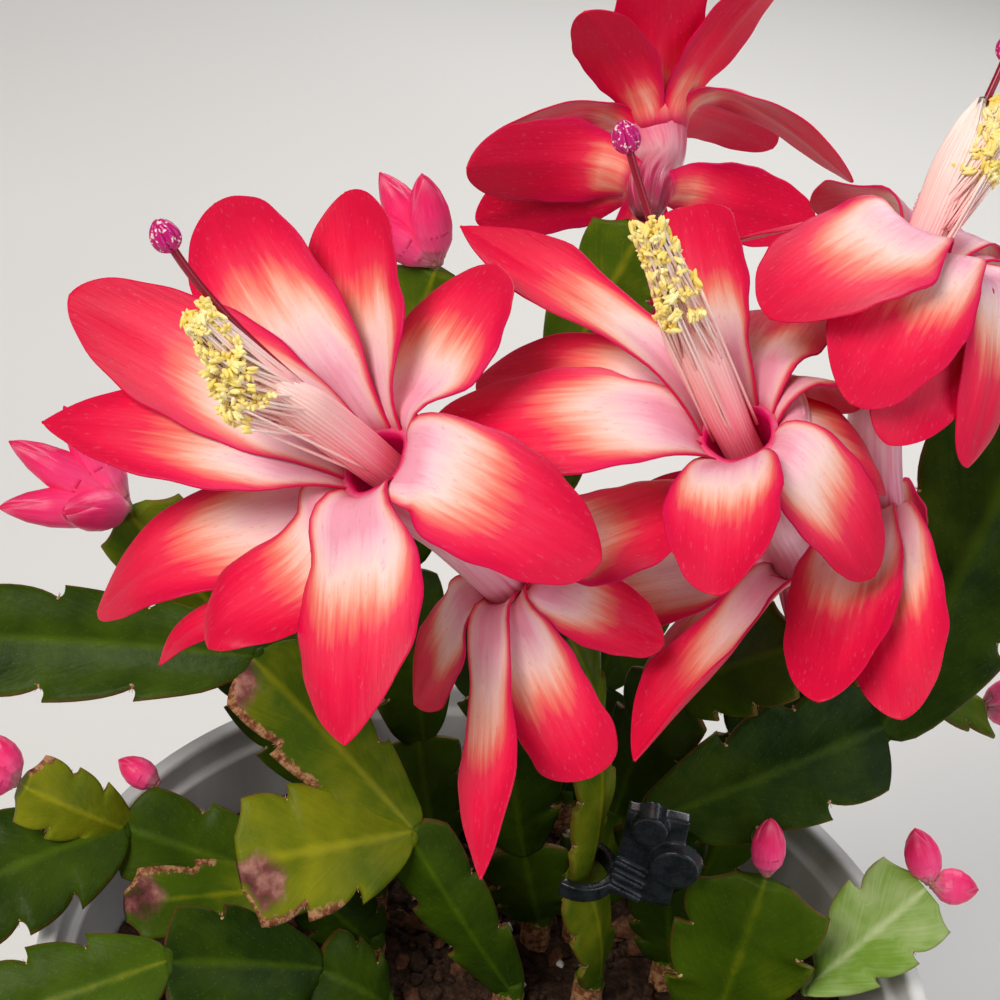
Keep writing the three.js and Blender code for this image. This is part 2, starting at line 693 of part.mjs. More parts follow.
// The stamens stand in one bundle in the throat, and the style runs free beside them
function makeStamens(name, bloom, tube) {
  const anthers = vec(bloom.anthers);
  const stigma = vec(bloom.stigma);
  const floorAxis = tube.getTangent(THROAT_FLOOR).normalize();
  const floor = tube.getPoint(THROAT_FLOOR).addScaledVector(floorAxis, ROUND_CLEARANCE);
  const styleSide = direction(anthers, stigma).projectOnPlane(floorAxis).normalize();
  const reach = floor.distanceTo(anthers);
  const columnFoot = floor.clone().addScaledVector(styleSide, -COLUMN_OFFSET);
  const bundle = new THREE.CubicBezierCurve3(
    columnFoot,
    columnFoot.clone().addScaledVector(floorAxis, reach * COLUMN_RISE),
    anthers.clone().lerp(floor, COLUMN_LEAD).addScaledVector(styleSide, -COLUMN_DROP),
    anthers,
  );
  const pieces = [roundAlong(bundle, COLUMN_PROFILE, COLUMN_SIDES)];
  for (let i = 0; i < bloom.stamens; i += 1) {
    const share = (i + 0.5) / bloom.stamens;
    const fan = rad(FAN_START) + (i * GOLDEN_ANGLE) % rad(FAN_ANGLE);
    const end = lerp(LOWEST_ANTHER.at, HIGHEST_ANTHER.at, share);
    const along = bundle.getTangent(Math.min(1, end));
    const outward = styleSide.clone().projectOnPlane(along).normalize().applyAxisAngle(along, fan);
    const tip = bundle.getPoint(Math.min(1, end))
      .addScaledVector(along, Math.max(0, end - 1) * reach)
      .addScaledVector(outward, lerp(LOWEST_ANTHER.spread, HIGHEST_ANTHER.spread, share));
    const filament = new THREE.QuadraticBezierCurve3(
      bundle.getPoint(FILAMENT_FOOT).addScaledVector(outward, FOOT_OFFSET),
      bundle.getPoint(FILAMENT_KNEE).addScaledVector(outward, KNEE_OFFSET),
      tip,
    );
    pieces.push(roundAlong(filament, STAMEN_PROFILE, FILAMENT_SIDES, outward));
  }
  addPiece(`bloom_${name}_stamens`, joined(pieces), CREAM_STAMEN);
  const foot = floor.clone().addScaledVector(styleSide, STYLE_OFFSET);
  makeStyle(name, new THREE.CubicBezierCurve3(
    foot,
    foot.clone().addScaledVector(floorAxis, foot.distanceTo(stigma) * STYLE_RISE),
    anthers.clone().addScaledVector(styleSide, STYLE_STAND),
    stigma,
  ));
}

function makeStyle(name, style) {
  const stigma = style.getPoint(1);
  const along = style.getTangent(1);
  const knob = new THREE.LineCurve3(
    stigma.clone().addScaledVector(along, -STIGMA_BELOW),
    stigma.clone().addScaledVector(along, STIGMA_ABOVE),
  );
  const shaft = roundAlong(style, STYLE_PROFILE, STYLE_SIDES);
  const lobes = roundAlong(knob, STIGMA_PROFILE, STYLE_SIDES);
  addPiece(`bloom_${name}_style`, shaft.add(lobes), MAGENTA_STYLE);
}

// Buds: each bunch is on a segment of a stem, at a share of its length. Side 0 is its midrib, and -1
// or 1 is an edge. `tips` are the places of the bud tips.
const BUDS = {
  buds_left: {
    on: ['stem_left_back', 2, 1, 0],
    tips: [[-72, 25, 160], [-72, 20, 153], [-66, 29, 164], [-62, 14, 158]],
    radius: 2.7,
  },
  buds_back_left: {
    on: ['stem_back_left', 3, 1, 0],
    tips: [[-29.5, 40, 198], [-24, 36, 200.5], [-32, 36, 194.3]],
    radius: 2.6,
  },
  buds_left_low: {
    on: ['stem_left', 2, 1, 0],
    tips: [[-69, 4, 129], [-70.5, -0.5, 126.5]],
    radius: 2.4,
  },
  bud_left_blade: {
    on: ['stem_left', 1, 0.9, 1],
    tips: [[-54, 12.5, 120]],
    radius: 2,
  },
  bud_right_front: {
    on: ['stem_right_front', 0, 1, 0],
    tips: [[31.9, 6.4, 133]],
    radius: 2.2,
  },
  buds_right_low: {
    on: ['stem_right_low', 1, 1, 0],
    tips: [[53, 15.5, 127], [63, 12.5, 120.5]],
    radius: 2.4,
  },
  buds_far_right: {
    on: ['stem_far_right', 2, 1, 0],
    tips: [[78, 62, 120], [80, 58, 115]],
    radius: 2.2,
  },
  buds_far: {
    on: ['stem_far', 2, 1, 0],
    tips: [[18, 97, 122], [23, 96, 117]],
    radius: 2.2,
  },
  buds_front_right: {
    on: ['stem_front_right', 2, 1, 0],
    tips: [[68, -52, 116], [70, -48, 111]],
    radius: 2.2,
  },
  buds_front: {
    on: ['stem_front', 2, 1, 0],
    tips: [[-6, -74, 117], [-12, -75, 113]],
    radius: 2.2,
  },
};

function seatOn([name, index, u, side]) {
  const { root, path } = STEMS[name];
  const start = index === 0 ? vec([...root, SOIL_TOP + STUB_RISE]) : vec(path[index - 1][0]);
  const [joint, width, face] = path[index];
  const end = vec(joint);
  const along = direction(start, end);
  const sideways = new THREE.Vector3().crossVectors(along, vec(face)).normalize();
  const [, share] = SEGMENT_OUTLINE.find(([at]) => at >= u) ?? [1, BLUNT_TIP];
  const reach = side * (share * width / 2 + BUD_GAP);
  return start.lerp(end, u).addScaledVector(sideways, reach).addScaledVector(along, side ? 0 : BUD_GAP);
}

function makeBuds(name, { on, tips, radius }) {
  const seat = seatOn(on);
  const pieces = tips.map((tip) => {
    const curve = new THREE.LineCurve3(seat, vec(tip));
    return roundAlong(curve, BUD_PROFILE.map(([t, share]) => [t, share * radius]), BUD_SIDES);
  });
  addPiece(name, joined(pieces), PINK_BUD);
}

// Plant clip: a sprung ring that closes round a stem joint, with a ribbed grip and a round pad
const CLIP_RING_RADIUS = 4.9;
const CLIP_RING_WALL = 1.2;
const CLIP_RING_HEIGHT = 2.4;
const CLIP_RING_SIDES = 10;
const CLIP_HALF_OPENING = 62;
const CLIP_SINK = 0.6;
const CLIP_GRIP = [8, 2, 15];
const CLIP_GRIP_DROP = 0.2;
const CLIP_GRIP_Y = -1;
const CLIP_RIB = [4.6, 1.2, 0.9];
const CLIP_RIBS = 3;
const CLIP_RIB_PITCH = 2.2;
const CLIP_RIB_SLANT = 20;
const CLIP_RIB_START = [-2.2, -2.2, 1];
const CLIP_PAD = { radius: 3.6, foot: 3.06, depth: 1.8, sides: 10, place: [3.4, -2.6, 7.6] };
const CLIP_LUG = { radius: 2.3, foot: 2.3, depth: 3.4, sides: 8, place: [-0.8, -1.8, 13.2] };
const CLIP_PLACE = [9.2, 5, 119.3];
const CLIP_TURN = -5;

function clipRing() {
  const half = rad(CLIP_HALF_OPENING);
  const outline = new THREE.Shape();
  outline.absarc(0, 0, CLIP_RING_RADIUS, Math.PI + half, 3 * Math.PI - half, false);
  outline.absarc(0, 0, CLIP_RING_RADIUS - CLIP_RING_WALL, 3 * Math.PI - half, Math.PI + half, true);
  return new THREE.ExtrudeGeometry(outline, {
    depth: CLIP_RING_HEIGHT,
    bevelEnabled: false,
    curveSegments: CLIP_RING_SIDES,
  });
}

function makeClip() {
  const gripX = CLIP_RING_RADIUS - CLIP_SINK + CLIP_GRIP[0] / 2;
  const grip = new THREE.BoxGeometry(...CLIP_GRIP)
    .translate(gripX, CLIP_GRIP_Y, CLIP_GRIP[2] / 2 - CLIP_GRIP_DROP);
  const rounds = [CLIP_PAD, CLIP_LUG].map(({ radius, foot, depth, sides, place: [x, y, z] }) => (
    new THREE.CylinderGeometry(radius, foot, depth, sides).translate(gripX + x, y, z)
  ));
  const ribs = Array.from({ length: CLIP_RIBS }, (_, i) => {
    const [x, y, z] = CLIP_RIB_START;
    return new THREE.BoxGeometry(...CLIP_RIB)
      .rotateY(rad(CLIP_RIB_SLANT))
      .translate(gripX + x, y, z + i * CLIP_RIB_PITCH);
  });
  const solids = [clipRing(), grip, ...rounds, ...ribs].map(solidFromGeometry);
  const clip = joined(solids).rotate([0, 0, CLIP_TURN]).translate(CLIP_PLACE);
  addPiece('plant_clip', clip, DARK_PLASTIC);
}

makePot();
makeSoil(Object.values(STEMS).map((stem) => stem.root));
Object.entries(STEMS).forEach(([name, stem]) => makeStem(name, stem));
Object.entries(BLOOMS).forEach(([name, bloom]) => makeBloom(name, bloom));
Object.entries(BUDS).forEach(([name, bunch]) => makeBuds(name, bunch));
makeClip();

export default plant;
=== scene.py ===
"""A potted christmas cactus: nursery pot, peat, flat toothed stem segments, blooms, buds and a plant clip."""

import math

import bpy
import numpy as np
from mathutils import Matrix, Vector
from mathutils.bvhtree import BVHTree


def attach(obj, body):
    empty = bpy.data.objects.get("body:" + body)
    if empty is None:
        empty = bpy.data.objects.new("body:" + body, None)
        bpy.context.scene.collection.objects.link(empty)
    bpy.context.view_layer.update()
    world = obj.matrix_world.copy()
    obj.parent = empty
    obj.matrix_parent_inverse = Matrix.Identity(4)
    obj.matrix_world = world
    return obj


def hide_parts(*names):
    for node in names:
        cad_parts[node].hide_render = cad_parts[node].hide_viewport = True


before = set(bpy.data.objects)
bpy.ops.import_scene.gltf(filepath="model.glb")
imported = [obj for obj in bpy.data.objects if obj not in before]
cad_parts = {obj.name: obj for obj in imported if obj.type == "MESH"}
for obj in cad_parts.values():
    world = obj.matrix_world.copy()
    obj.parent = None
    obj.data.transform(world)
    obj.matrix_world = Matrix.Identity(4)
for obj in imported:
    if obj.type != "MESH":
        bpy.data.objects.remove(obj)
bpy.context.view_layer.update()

MM = 0.001
BODY = "root"

# Camera: where the photograph was taken from, how far it dips and rolls, and its field of view
CAMERA_PLACE = (-8.6, -172.6, 294.9)
CAMERA_DIP = 33.8
CAMERA_ROLL = 8.8
CAMERA_FIELD = 30

# Pot and soil
POT_HEIGHT = 105
RIM_RADIUS = 60
RIM_BAND = 16
RIM_LIP = 2.6
LEDGE_DROP = 4
LEDGE_WIDTH = 1.8
BASE_RADIUS = 42
WALL = 1.8
FLOOR = 2.4
DRAIN_HOLES = 4
DRAIN_CIRCLE = 27
DRAIN_RADIUS = 4
SOIL_TOP = 92.5
STUB_RADIUS = 2.1
STUB_DEPTH = 8
STUB_RISE = 5

# Stem segments
JOINT_HALF_WIDTH = 2.1
BOW = 4.8
BLUNT_TIP = 0.4

# Tepals: the outline, and the rings they grow from
TEPAL_BASE_SHARE = 0.5
TEPAL_WIDEST = 0.45
TEPAL_BEND = 0.4
MOUTH_RING = {"radius": 4, "start": 15, "sink": 1.4}
LOW_RING = {"radius": 2.7, "start": 30, "sink": 0.3}
LOW_TIER = 0.24
TUBE_OUTSIDE = ((0, 1.6), (0.06, 2.7), (0.22, 3.1), (0.65, 3), (1, 4.3))
THROAT = ((1, 3.5), (0.86, 2.9), (0.66, 2.7))
TUBE_PULL = 0.4
THROAT_FLOOR = 0.66

TO_VIEWER = (0, -0.9, 0.45)
UPWARD = (0.05, -0.5, 0.85)
EDGE_ON = (0.88, -0.46, 0.1)
TO_LEFT = (-0.6, -0.7, 0.4)
TO_RIGHT = (0.5, -0.75, 0.4)

# Stems: a root in the soil and a chain of (joint, width, face), with side chains from a joint. A segment
# may say how light its green is, where cork has healed its edge, as (from, to, side), and where it is
# bruised, as (along, across)
STEMS = {
    "stem_left_front": {
        "root": (3, 4),
        "path": [
            ((-14, 3, 125), 10, TO_VIEWER),
            ((-37, 12, 141), 13, UPWARD, {"light": 0.56, "cork": (0.35, 1.0, -1), "bruise": (1.0, -0.7)}),
            ((-76, 13, 136), 16, UPWARD, {"light": 0.2}),
        ],
        "branches": [
            {
                "from": (-14, 2.5, 124.5),
                "path": [
                    (
                        (-34, -7, 124),
                        17,
                        (0.1, -0.7, 0.7),
                        {"light": 0.7, "cork": (0.4, 1.0, -1), "bruise": (0.93, -0.35)},
                    ),
                ],
            }
        ],
    },
    "stem_mid": {
        "root": (14, 8),
        "path": [
            ((9, 5, 119), 10, EDGE_ON, {"light": 0.6}),
            ((7, 6, 143), 10, EDGE_ON, {"light": 0.62}),
            ((-0.1, -7.4, 168.2), 10, EDGE_ON, {"light": 0.45}),
        ],
    },
    "stem_inner": {
        "root": (6, 18),
        "path": [
            ((2, 16, 112), 12, TO_VIEWER),
            ((-3, 16, 132), 13, TO_VIEWER),
            ((-9, 19, 152), 12, TO_VIEWER),
        ],
    },
    "stem_centre": {
        "root": (12, 22),
        "path": [
            ((15, 22, 116), 13, TO_VIEWER),
            ((18, 21, 140), 14, TO_LEFT),
            ((29.3, 6.4, 160.8), 13, TO_LEFT),
        ],
    },
    "stem_right": {
        "root": (25, 14),
        "path": [
            ((22, 13, 112), 11, TO_VIEWER),
            ((18, 9, 128), 12, TO_VIEWER),
            ((46, 21, 139), 17, (-0.25, -0.85, 0.4), {"light": 0.1}),
            ((59, 42, 177), 24, (-0.1, -0.9, 0.45), {"light": 0.15}),
        ],
    },
    "stem_right_back": {
        "root": (28, 26),
        "path": [
            ((32, 30, 118), 12, TO_VIEWER),
            ((33.5, 29, 147), 14, TO_VIEWER),
            ((37.5, 2.8, 167.2), 13, TO_RIGHT),
        ],
    },
    "stem_back": {
        "root": (0, 34),
        "path": [
            ((0, 40, 114), 12, TO_VIEWER),
            ((-3, 47, 142), 14, TO_VIEWER),
            ((-3, 51, 168), 15, TO_LEFT),
            ((4.4, 50.7, 191), 13, TO_VIEWER, {"light": 0.5}),
        ],
    },
    "stem_back_left": {
        "root": (-10, 28),
        "path": [
            ((-15, 33, 114), 12, TO_VIEWER),
            ((-22, 36, 140), 14, TO_RIGHT),
            ((-25, 38, 165), 15, TO_VIEWER),
            ((-21, 38, 187), 13, TO_VIEWER, {"light": 0.6}),
        ],
    },
    "stem_left_back": {
        "root": (-18, 19),
        "path": [
            ((-27, 25, 110), 12, TO_VIEWER),
            ((-42, 30, 132), 14, TO_VIEWER),
            ((-56, 25, 152), 13, TO_VIEWER, {"light": 0.6}),
        ],
    },
    "stem_left": {
        "root": (-17, 9),
        "path": [
            ((-25, 8, 106), 11, TO_VIEWER),
            ((-51.9, 6.7, 113.6), 13, (0, -0.7, 0.7), {"light": 0.3}),
            ((-64, 2.4, 122.6), 10, (-0.2, -0.7, 0.7), {"light": 0.75, "cork": (0.8, 1.0, 1)}),
        ],
        "branches": [
            {
                "from": (-25, 8, 106),
                "path": [
                    (
                        (-49, -3, 109),
                        10,
                        (0.1, -0.5, 0.85),
                        {"light": 0.5, "cork": (0.5, 1.0, 1), "bruise": (0.97, 0.2)},
                    )
                ],
            },
            {
                "from": (-51.9, 6.2, 113.6),
                "path": [((-72, -7, 109), 17, (-0.1, -0.6, 0.8), {"light": 0.2})],
            },
        ],
    },
    "stem_left_low": {
        "root": (-14, -3),
        "path": [
            ((-23, -7, 107), 13, UPWARD),
            ((-41, -15, 113), 15, UPWARD),
            ((-62, -24, 106), 15, UPWARD, {"light": 0.35}),
        ],
    },
    "stem_right_front": {
        "root": (31, 2),
        "path": [((33, 5, 123.5), 19, (-0.15, -0.95, 0.25), {"light": 0.4})],
    },
    "stem_right_low": {
        "root": (38, 12),
        "path": [
            ((43, 5, 106.5), 10, (0.4, -0.5, 0.75), {"light": 0.5}),
            ((56, 12.5, 119.5), 14, (-0.1, -0.75, 0.65), {"light": 0.6}),
        ],
        "young": True,
    },
    "stem_far_right": {
        "root": (25, 36),
        "path": [
            ((36, 42, 112), 12, UPWARD),
            ((52, 50, 124), 15, (0, -0.2, 1)),
            ((70, 58, 116), 15, (0.3, 0, 1), {"light": 0.45}),
        ],
    },
    "stem_far": {
        "root": (8, 44),
        "path": [
            ((11, 54, 112), 12, (0, -0.5, 0.85)),
            ((15, 70, 125), 15, (0, -0.4, 0.9)),
            ((18, 88, 118), 15, (0, 0.3, 1), {"light": 0.5}),
        ],
    },
    "stem_far_left": {
        "root": (-24, 34),
        "path": [
            ((-34, 44, 112), 12, UPWARD),
            ((-48, 57, 127), 15, (0, -0.2, 1)),
            ((-62, 70, 120), 15, (-0.2, 0.2, 1), {"light": 0.3}),
        ],
    },
    "stem_front": {
        "root": (0, -18),
        "path": [
            ((-2, -28, 109), 12, (0, 0.5, 0.85)),
            ((-5, -46, 120), 15, (0, 0.4, 0.9)),
            ((-8, -66, 113), 16, (0, -0.3, 1), {"light": 0.4}),
        ],
    },
    "stem_front_right": {
        "root": (18, -12),
        "path": [
            ((29, -21, 108), 12, UPWARD),
            ((44, -34, 119), 15, (0, 0.2, 1)),
            ((60, -47, 112), 15, (0.3, -0.2, 1), {"light": 0.5}),
        ],
    },
    "stem_front_left": {
        "root": (-18, -20),
        "path": [
            ((-28, -31, 108), 12, UPWARD),
            ((-42, -44, 118), 15, (0, 0.2, 1)),
            ((-54, -58, 110), 15, (-0.2, -0.2, 1), {"light": 0.3}),
        ],
    },
}

# Blooms. A tepal is (clock, lean, length, width, bend), and may say its roll, its curl and its outline.
# A cluster of anthers stands (across, towards the style) from its bundle, and its far end further to the
# style. Girth is the width of the sheath of stamens, and hood how far it reaches up over the anthers
BLOOMS = {
    "left": {
        "base": (-0.8, -7.7, 169.2),
        "rise": (-0.61, -0.25, 0.76),
        "mouth": (-21.5, -17, 193),
        "aim": (-0.63, -0.29, 0.72),
        "inner": [
            (241, 55, 36, 13, 0.41),
            (217, 66, 34.5, 12.5, 0.48, {"outline": "point"}),
            (200, 98, 37, 12.5, 0.25, {"roll": -0.15, "tip_roll": 0.1}),
            (164, 96, 23, 13.5, 0.34),
            (
                127,
                108,
                27,
                15.5,
                0.2,
                {"outline": "point", "roll": -0.75, "tip_roll": -0.3, "curl": 6, "over": 30},
            ),
            (56, 147, 27.6, 14, 0.4, {"roll": -0.75, "tip_roll": -0.3, "curl": 6}),
            (326, 97, 23, 14.5, 0.2),
            (297, 78, 30, 13.5, 0.35, {"roll": 0.3, "tip_roll": 0.4, "curl": -8, "over": -12}),
            (273, 75, 37, 14, 0.5),
            (180, 98, 29, 10, 0.2, {"outline": "point"}),
        ],
        "outer": [
            (188, 125, 19.5, 11, 0.25),
            (123, 103, 32, 9, 0.2, {"outline": "lance", "roll": -0.5, "twist": 14}),
            (108, 139, 22.5, 9.5, 0.2, {"outline": "blunt", "roll": -0.6, "twist": -22}),
            (4, 110, 21, 15.5, 0.25, {"roll": -0.5, "tip_roll": -0.6}),
            (48, 148, 18, 9, 0.25),
        ],
        "anthers": (-36.5, -25.2, 206.8),
        "stigma": (-41.5, -23.2, 216.9),
        "cluster": (0, 0.3, 4.5),
        "girth": 1.05,
    },
    "centre": {
        "base": (29.5, 6.3, 163.1),
        "rise": (-0.14, 0.16, 0.98),
        "mouth": (14.8, -5.4, 195.9),
        "aim": (-0.37, -0.32, 0.87),
        "inner": [
            (260, 78, 38, 9, 0.5, {"outline": "lance", "roll": 0.9, "tip_roll": 0.6, "curl": 4}),
            (244, 110, 33.5, 11, 0.55),
            (215, 79, 31.5, 14, 0.45),
            (303, 86, 28, 9.8, 0.38, {"outline": "blunt", "roll": 0.75, "tip_roll": 0.4}),
            (323, 120, 24.5, 15.5, 0.3),
            (343, 160, 24, 14, 0.44),
            (30, 166, 24, 12.5, 0.42),
            (82, 158, 24, 10, 0.4),
            (135, 93, 21, 12, 0.45),
        ],
        "outer": [
            (207, 94, 34, 13, 0.2, {"roll": -0.6, "curl": -12}),
            (150, 86, 34, 11.5, 0.22, {"outline": "lance", "roll": 1.2, "tip_roll": 1.0, "twist": 24}),
            (193, 130, 25.5, 10, 0.2),
            (250, 100, 24, 10, 0.4),
        ],
        "anthers": (2.5, -8.2, 215),
        "stigma": (-1.7, -4.1, 224.9),
        "cluster": (-1.1, -0.4, 1),
        "girth": 0.8,
    },
    "right": {
        "base": (37.2, 3.3, 170.3),
        "rise": (-0.2, 0.54, 0.81),
        "mouth": (33.3, 13.6, 210.5),
        "aim": (0.34, 0.3, 0.89),
        "inner": [
            (65, 132, 23, 9, 0.3),
            (356, 136, 25.5, 16, 0.3),
            (325, 157, 28, 14.5, 0.4),
            (303, 162, 28, 13.5, 0.35),
            (262, 158, 27, 11, 0.35),
            (200, 115, 26, 10, 0.4),
            (160, 105, 27, 11, 0.4),
            (115, 110, 26, 11, 0.4),
        ],
        "outer": [
            (62, 117, 31.5, 12, 0.2),
            (46, 132, 30, 12, 0.25),
            (232, 140, 26, 10, 0.3),
            (190, 125, 22, 10, 0.4),
        ],
        "anthers": (34.9, 20, 223.6),
        "stigma": (37.9, 25, 229.6),
        "cluster": (-2.4, 1.6, 0),
        "girth": 0.7,
        "hood": 1.06,
    },
    "top": {
        "base": (4.8, 51.4, 192.6),
        "rise": (-0.14, 0.86, 0.49),
        "mouth": (4.9, 75.9, 195.2),
        "aim": (-0.31, 0.66, 0.69),
        "inner": [
            (15, 62, 29, 13),
            (42, 78, 25, 10),
            (300, 140, 32, 11),
            (335, 70, 28, 11),
            (95, 110, 27, 11),
            (145, 100, 27, 11),
            (195, 90, 27, 11),
            (245, 100, 27, 11),
        ],
        "outer": [
            (88, 125, 26, 12),
            (114, 100, 24, 11),
            (262, 90, 22, 11),
            (180, 110, 22, 10),
        ],
        "anthers": (-2, 92, 214),
        "stigma": (-14, 94, 219),
        "cluster": (0, 0.8, 0),
        "girth": 0.9,
        "flush": 1.5,
    },
}

# Buds: (stem, segment, share of its length, side), the places of the tips, and the radius
BUDS = {
    "buds_left": (
        ("stem_left_back", 2, 1, 0),
        [(-72, 25, 160), (-72, 20, 153), (-66, 29, 164), (-62, 14, 158)],
        2.7,
    ),
    "buds_back_left": (
        ("stem_back_left", 3, 1, 0),
        [(-29.5, 40, 198), (-24, 36, 200.5), (-32, 36, 194.3)],
        2.6,
    ),
    "buds_left_low": (("stem_left", 2, 1, 0), [(-69, 4, 129), (-70.5, -0.5, 126.5)], 2.4),
    "bud_left_blade": (("stem_left", 1, 0.9, 1), [(-54, 12.5, 120)], 2),
    "bud_right_front": (("stem_right_front", 0, 1, 0), [(31.9, 6.4, 133)], 2.2),
    "buds_right_low": (("stem_right_low", 1, 1, 0), [(53, 15.5, 127), (63, 12.5, 120.5)], 2.4),
    "buds_far_right": (("stem_far_right", 2, 1, 0), [(78, 62, 120), (80, 58, 115)], 2.2),
    "buds_far": (("stem_far", 2, 1, 0), [(18, 97, 122), (23, 96, 117)], 2.2),
    "buds_front_right": (("stem_front_right", 2, 1, 0), [(68, -52, 116), (70, -48, 111)], 2.2),
    "buds_front": (("stem_front", 2, 1, 0), [(-6, -74, 117), (-12, -75, 113)], 2.2),
}
BUD_GAP = 0.8
SEGMENT_SHARES = ((0.3, 0.84), (0.38, 0.7), (0.6, 1), (0.68, 0.82), (0.9, 0.9))


# Vectors and curves

# A direction that no piece runs along, from which the rings round a line are turned
ASIDE = (0.3, 0.2, 0.93)
CORNERS = ((-1, -1), (1, -1), (1, 1), (-1, 1))


def unit(v):
    """A vector, or each of a list of them, brought to length 1."""
    v = np.asarray(v, float)
    return v / np.linalg.norm(v, axis=-1, keepdims=True)


def smooth(x):
    """An even step from 0 to 1, soft at both ends."""
    x = np.clip(x, 0, 1)
    return x * x * (3 - 2 * x)


def lerp(a, b, t):
    """The value that lies a share t of the way from a to b."""
    return a + (b - a) * t


def bezier(points, t):
    """Points of a curve that its first and last control points end, at each share t."""
    points = np.asarray(points, float)
    t = np.atleast_1d(t)[:, None]
    order = len(points) - 1
    return sum(math.comb(order, i) * (1 - t) ** (order - i) * t**i * points[i] for i in range(order + 1))


def bezier_ways(points, t):
    """Unit directions of the same curve."""
    points = np.asarray(points, float)
    return unit(bezier(points[1:] - points[:-1], t))


def circle_of(sides):
    """The angles of a ring's points."""
    return np.linspace(0, 2 * np.pi, sides, endpoint=False)


def square_to(v, axis):
    """The part of v that is square to a unit axis."""
    return v - axis * np.dot(v, axis)


def turned(v, axis, angle):
    """v turned round a unit axis."""
    level = v * math.cos(angle) + np.cross(axis, v) * math.sin(angle)
    return level + axis * np.dot(axis, v) * (1 - math.cos(angle))


def wave(points, pitch, seed, octaves=3):
    """A smooth random height at each point, from -1 to 1, with lumps about a pitch apart."""
    draw = np.random.default_rng(seed)
    total = np.zeros(points.shape[:-1])
    for octave in range(octaves):
        for _ in range(5):
            way = unit(draw.normal(size=points.shape[-1])) * 2 * np.pi / pitch * 1.9**octave
            total += np.sin(points @ way * draw.uniform(0.7, 1.3) + draw.uniform(0, 7)) / 1.9**octave
    return total / 5


# Meshes: a skin gathers closed bodies, each point with its spot on the body and its place in millimetres

class Skin:
    """Closed bodies that become one mesh."""

    def __init__(self):
        self.points, self.spots, self.places = [], [], []
        self.faces, self.slots = [], []
        self.count = 0

    def body(self, points, faces, spot, place, slot=0):
        """One closed body. spot is (along, across, face) and place is (across mm, along mm, chance)."""
        points = np.asarray(points, float).reshape(-1, 3)
        self.points.append(points)
        self.spots.append(np.broadcast_to(np.asarray(spot, float), (len(points), 3)))
        self.places.append(np.broadcast_to(np.asarray(place, float), (len(points), 3)))
        self.faces.extend([i + self.count for i in face] for face in faces)
        self.slots.extend([slot] * len(faces))
        self.count += len(points)

    def tube(self, rings, spot, place, slot=0):
        """A body through rings of points, closed by a flat end at each end ring."""
        rows, sides = rings.shape[:2]
        index = np.arange(rows * sides).reshape(rows, sides)
        after = np.roll(index, -1, axis=1)
        quads = np.stack([index[:-1], after[:-1], after[1:], index[1:]], -1).reshape(-1, 4)
        faces = quads.tolist() + [index[0, ::-1].tolist(), index[-1].tolist()]
        self.body(rings, faces, spot, place, slot)

    def blade(self, upper, lower, spot, under_spot, place, slot=0):
        """A thin blade between two grids of points, with a narrow rim round it."""
        rows, columns = upper.shape[:2]
        size = rows * columns
        index = np.arange(size).reshape(rows, columns)
        cells = [index[:-1, :-1], index[1:, :-1], index[1:, 1:], index[:-1, 1:]]
        top = np.stack(cells, -1).reshape(-1, 4)
        bottom = np.stack(cells[::-1], -1).reshape(-1, 4) + size
        border = np.concatenate([index[0, :-1], index[:-1, -1], index[-1, :0:-1], index[:0:-1, 0]])
        after = np.roll(border, -1)
        rim = np.stack([border, after, after + size, border + size], -1)
        faces = np.concatenate([top, bottom, rim]).tolist()
        points = np.concatenate([upper.reshape(-1, 3), lower.reshape(-1, 3)])
        spots = np.concatenate([spot.reshape(-1, 3), under_spot.reshape(-1, 3)])
        places = np.concatenate([place.reshape(-1, 3)] * 2)
        self.body(points, faces, spots, places, slot)


def mesh_of(name, skin):
    """Blender's mesh of a skin, in metres."""
    mesh = bpy.data.meshes.new(name)
    mesh.from_pydata((np.concatenate(skin.points) * MM).tolist(), [], skin.faces)
    for label, rows in (("spot", skin.spots), ("place", skin.places)):
        paint = mesh.attributes.new(label, "FLOAT_VECTOR", "POINT")
        paint.data.foreach_set("vector", np.concatenate(rows).astype(np.float32).ravel())
    mesh.polygons.foreach_set("material_index", np.array(skin.slots, np.int32))
    mesh.polygons.foreach_set("use_smooth", np.ones(len(skin.faces), bool))
    mesh.update()
    return mesh


def place_piece(name, mesh, materials, slot, *nodes):
    """An object of the plant: it rides on the root body and stands for the named solids."""
    piece = bpy.data.objects.new(name, mesh)
    bpy.context.scene.collection.objects.link(piece)
    for material in materials:
        mesh.materials.append(material)
    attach(piece, BODY)
    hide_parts(*nodes)
    return piece


def rings_round(centres, ways, radii, sides, sideways):
    """Rings of points round a line, each square to it. radii has one value a ring, or one a point."""
    across = unit(np.cross(ways, sideways))
    first = np.cross(across, ways)
    turn = circle_of(sides)
    radii = np.asarray(radii, float)
    radii = radii[:, None] if radii.ndim == 1 else radii
    circle = first[:, None] * np.cos(turn)[:, None] + across[:, None] * np.sin(turn)[:, None]
    return centres[:, None] + radii[..., None] * circle


def ring_grid(rows, sides, length, girth, chance, face=0):
    """The spots and places of a tube's points."""
    along = np.repeat(np.linspace(0, 1, rows), sides)
    across = np.tile(np.linspace(-1, 1, sides, endpoint=False), rows)
    spot = np.stack([along, across, np.full_like(along, face)], -1)
    place = np.stack([across * girth / 2, along * length, np.full_like(along, chance)], -1)
    return spot, place


# Materials

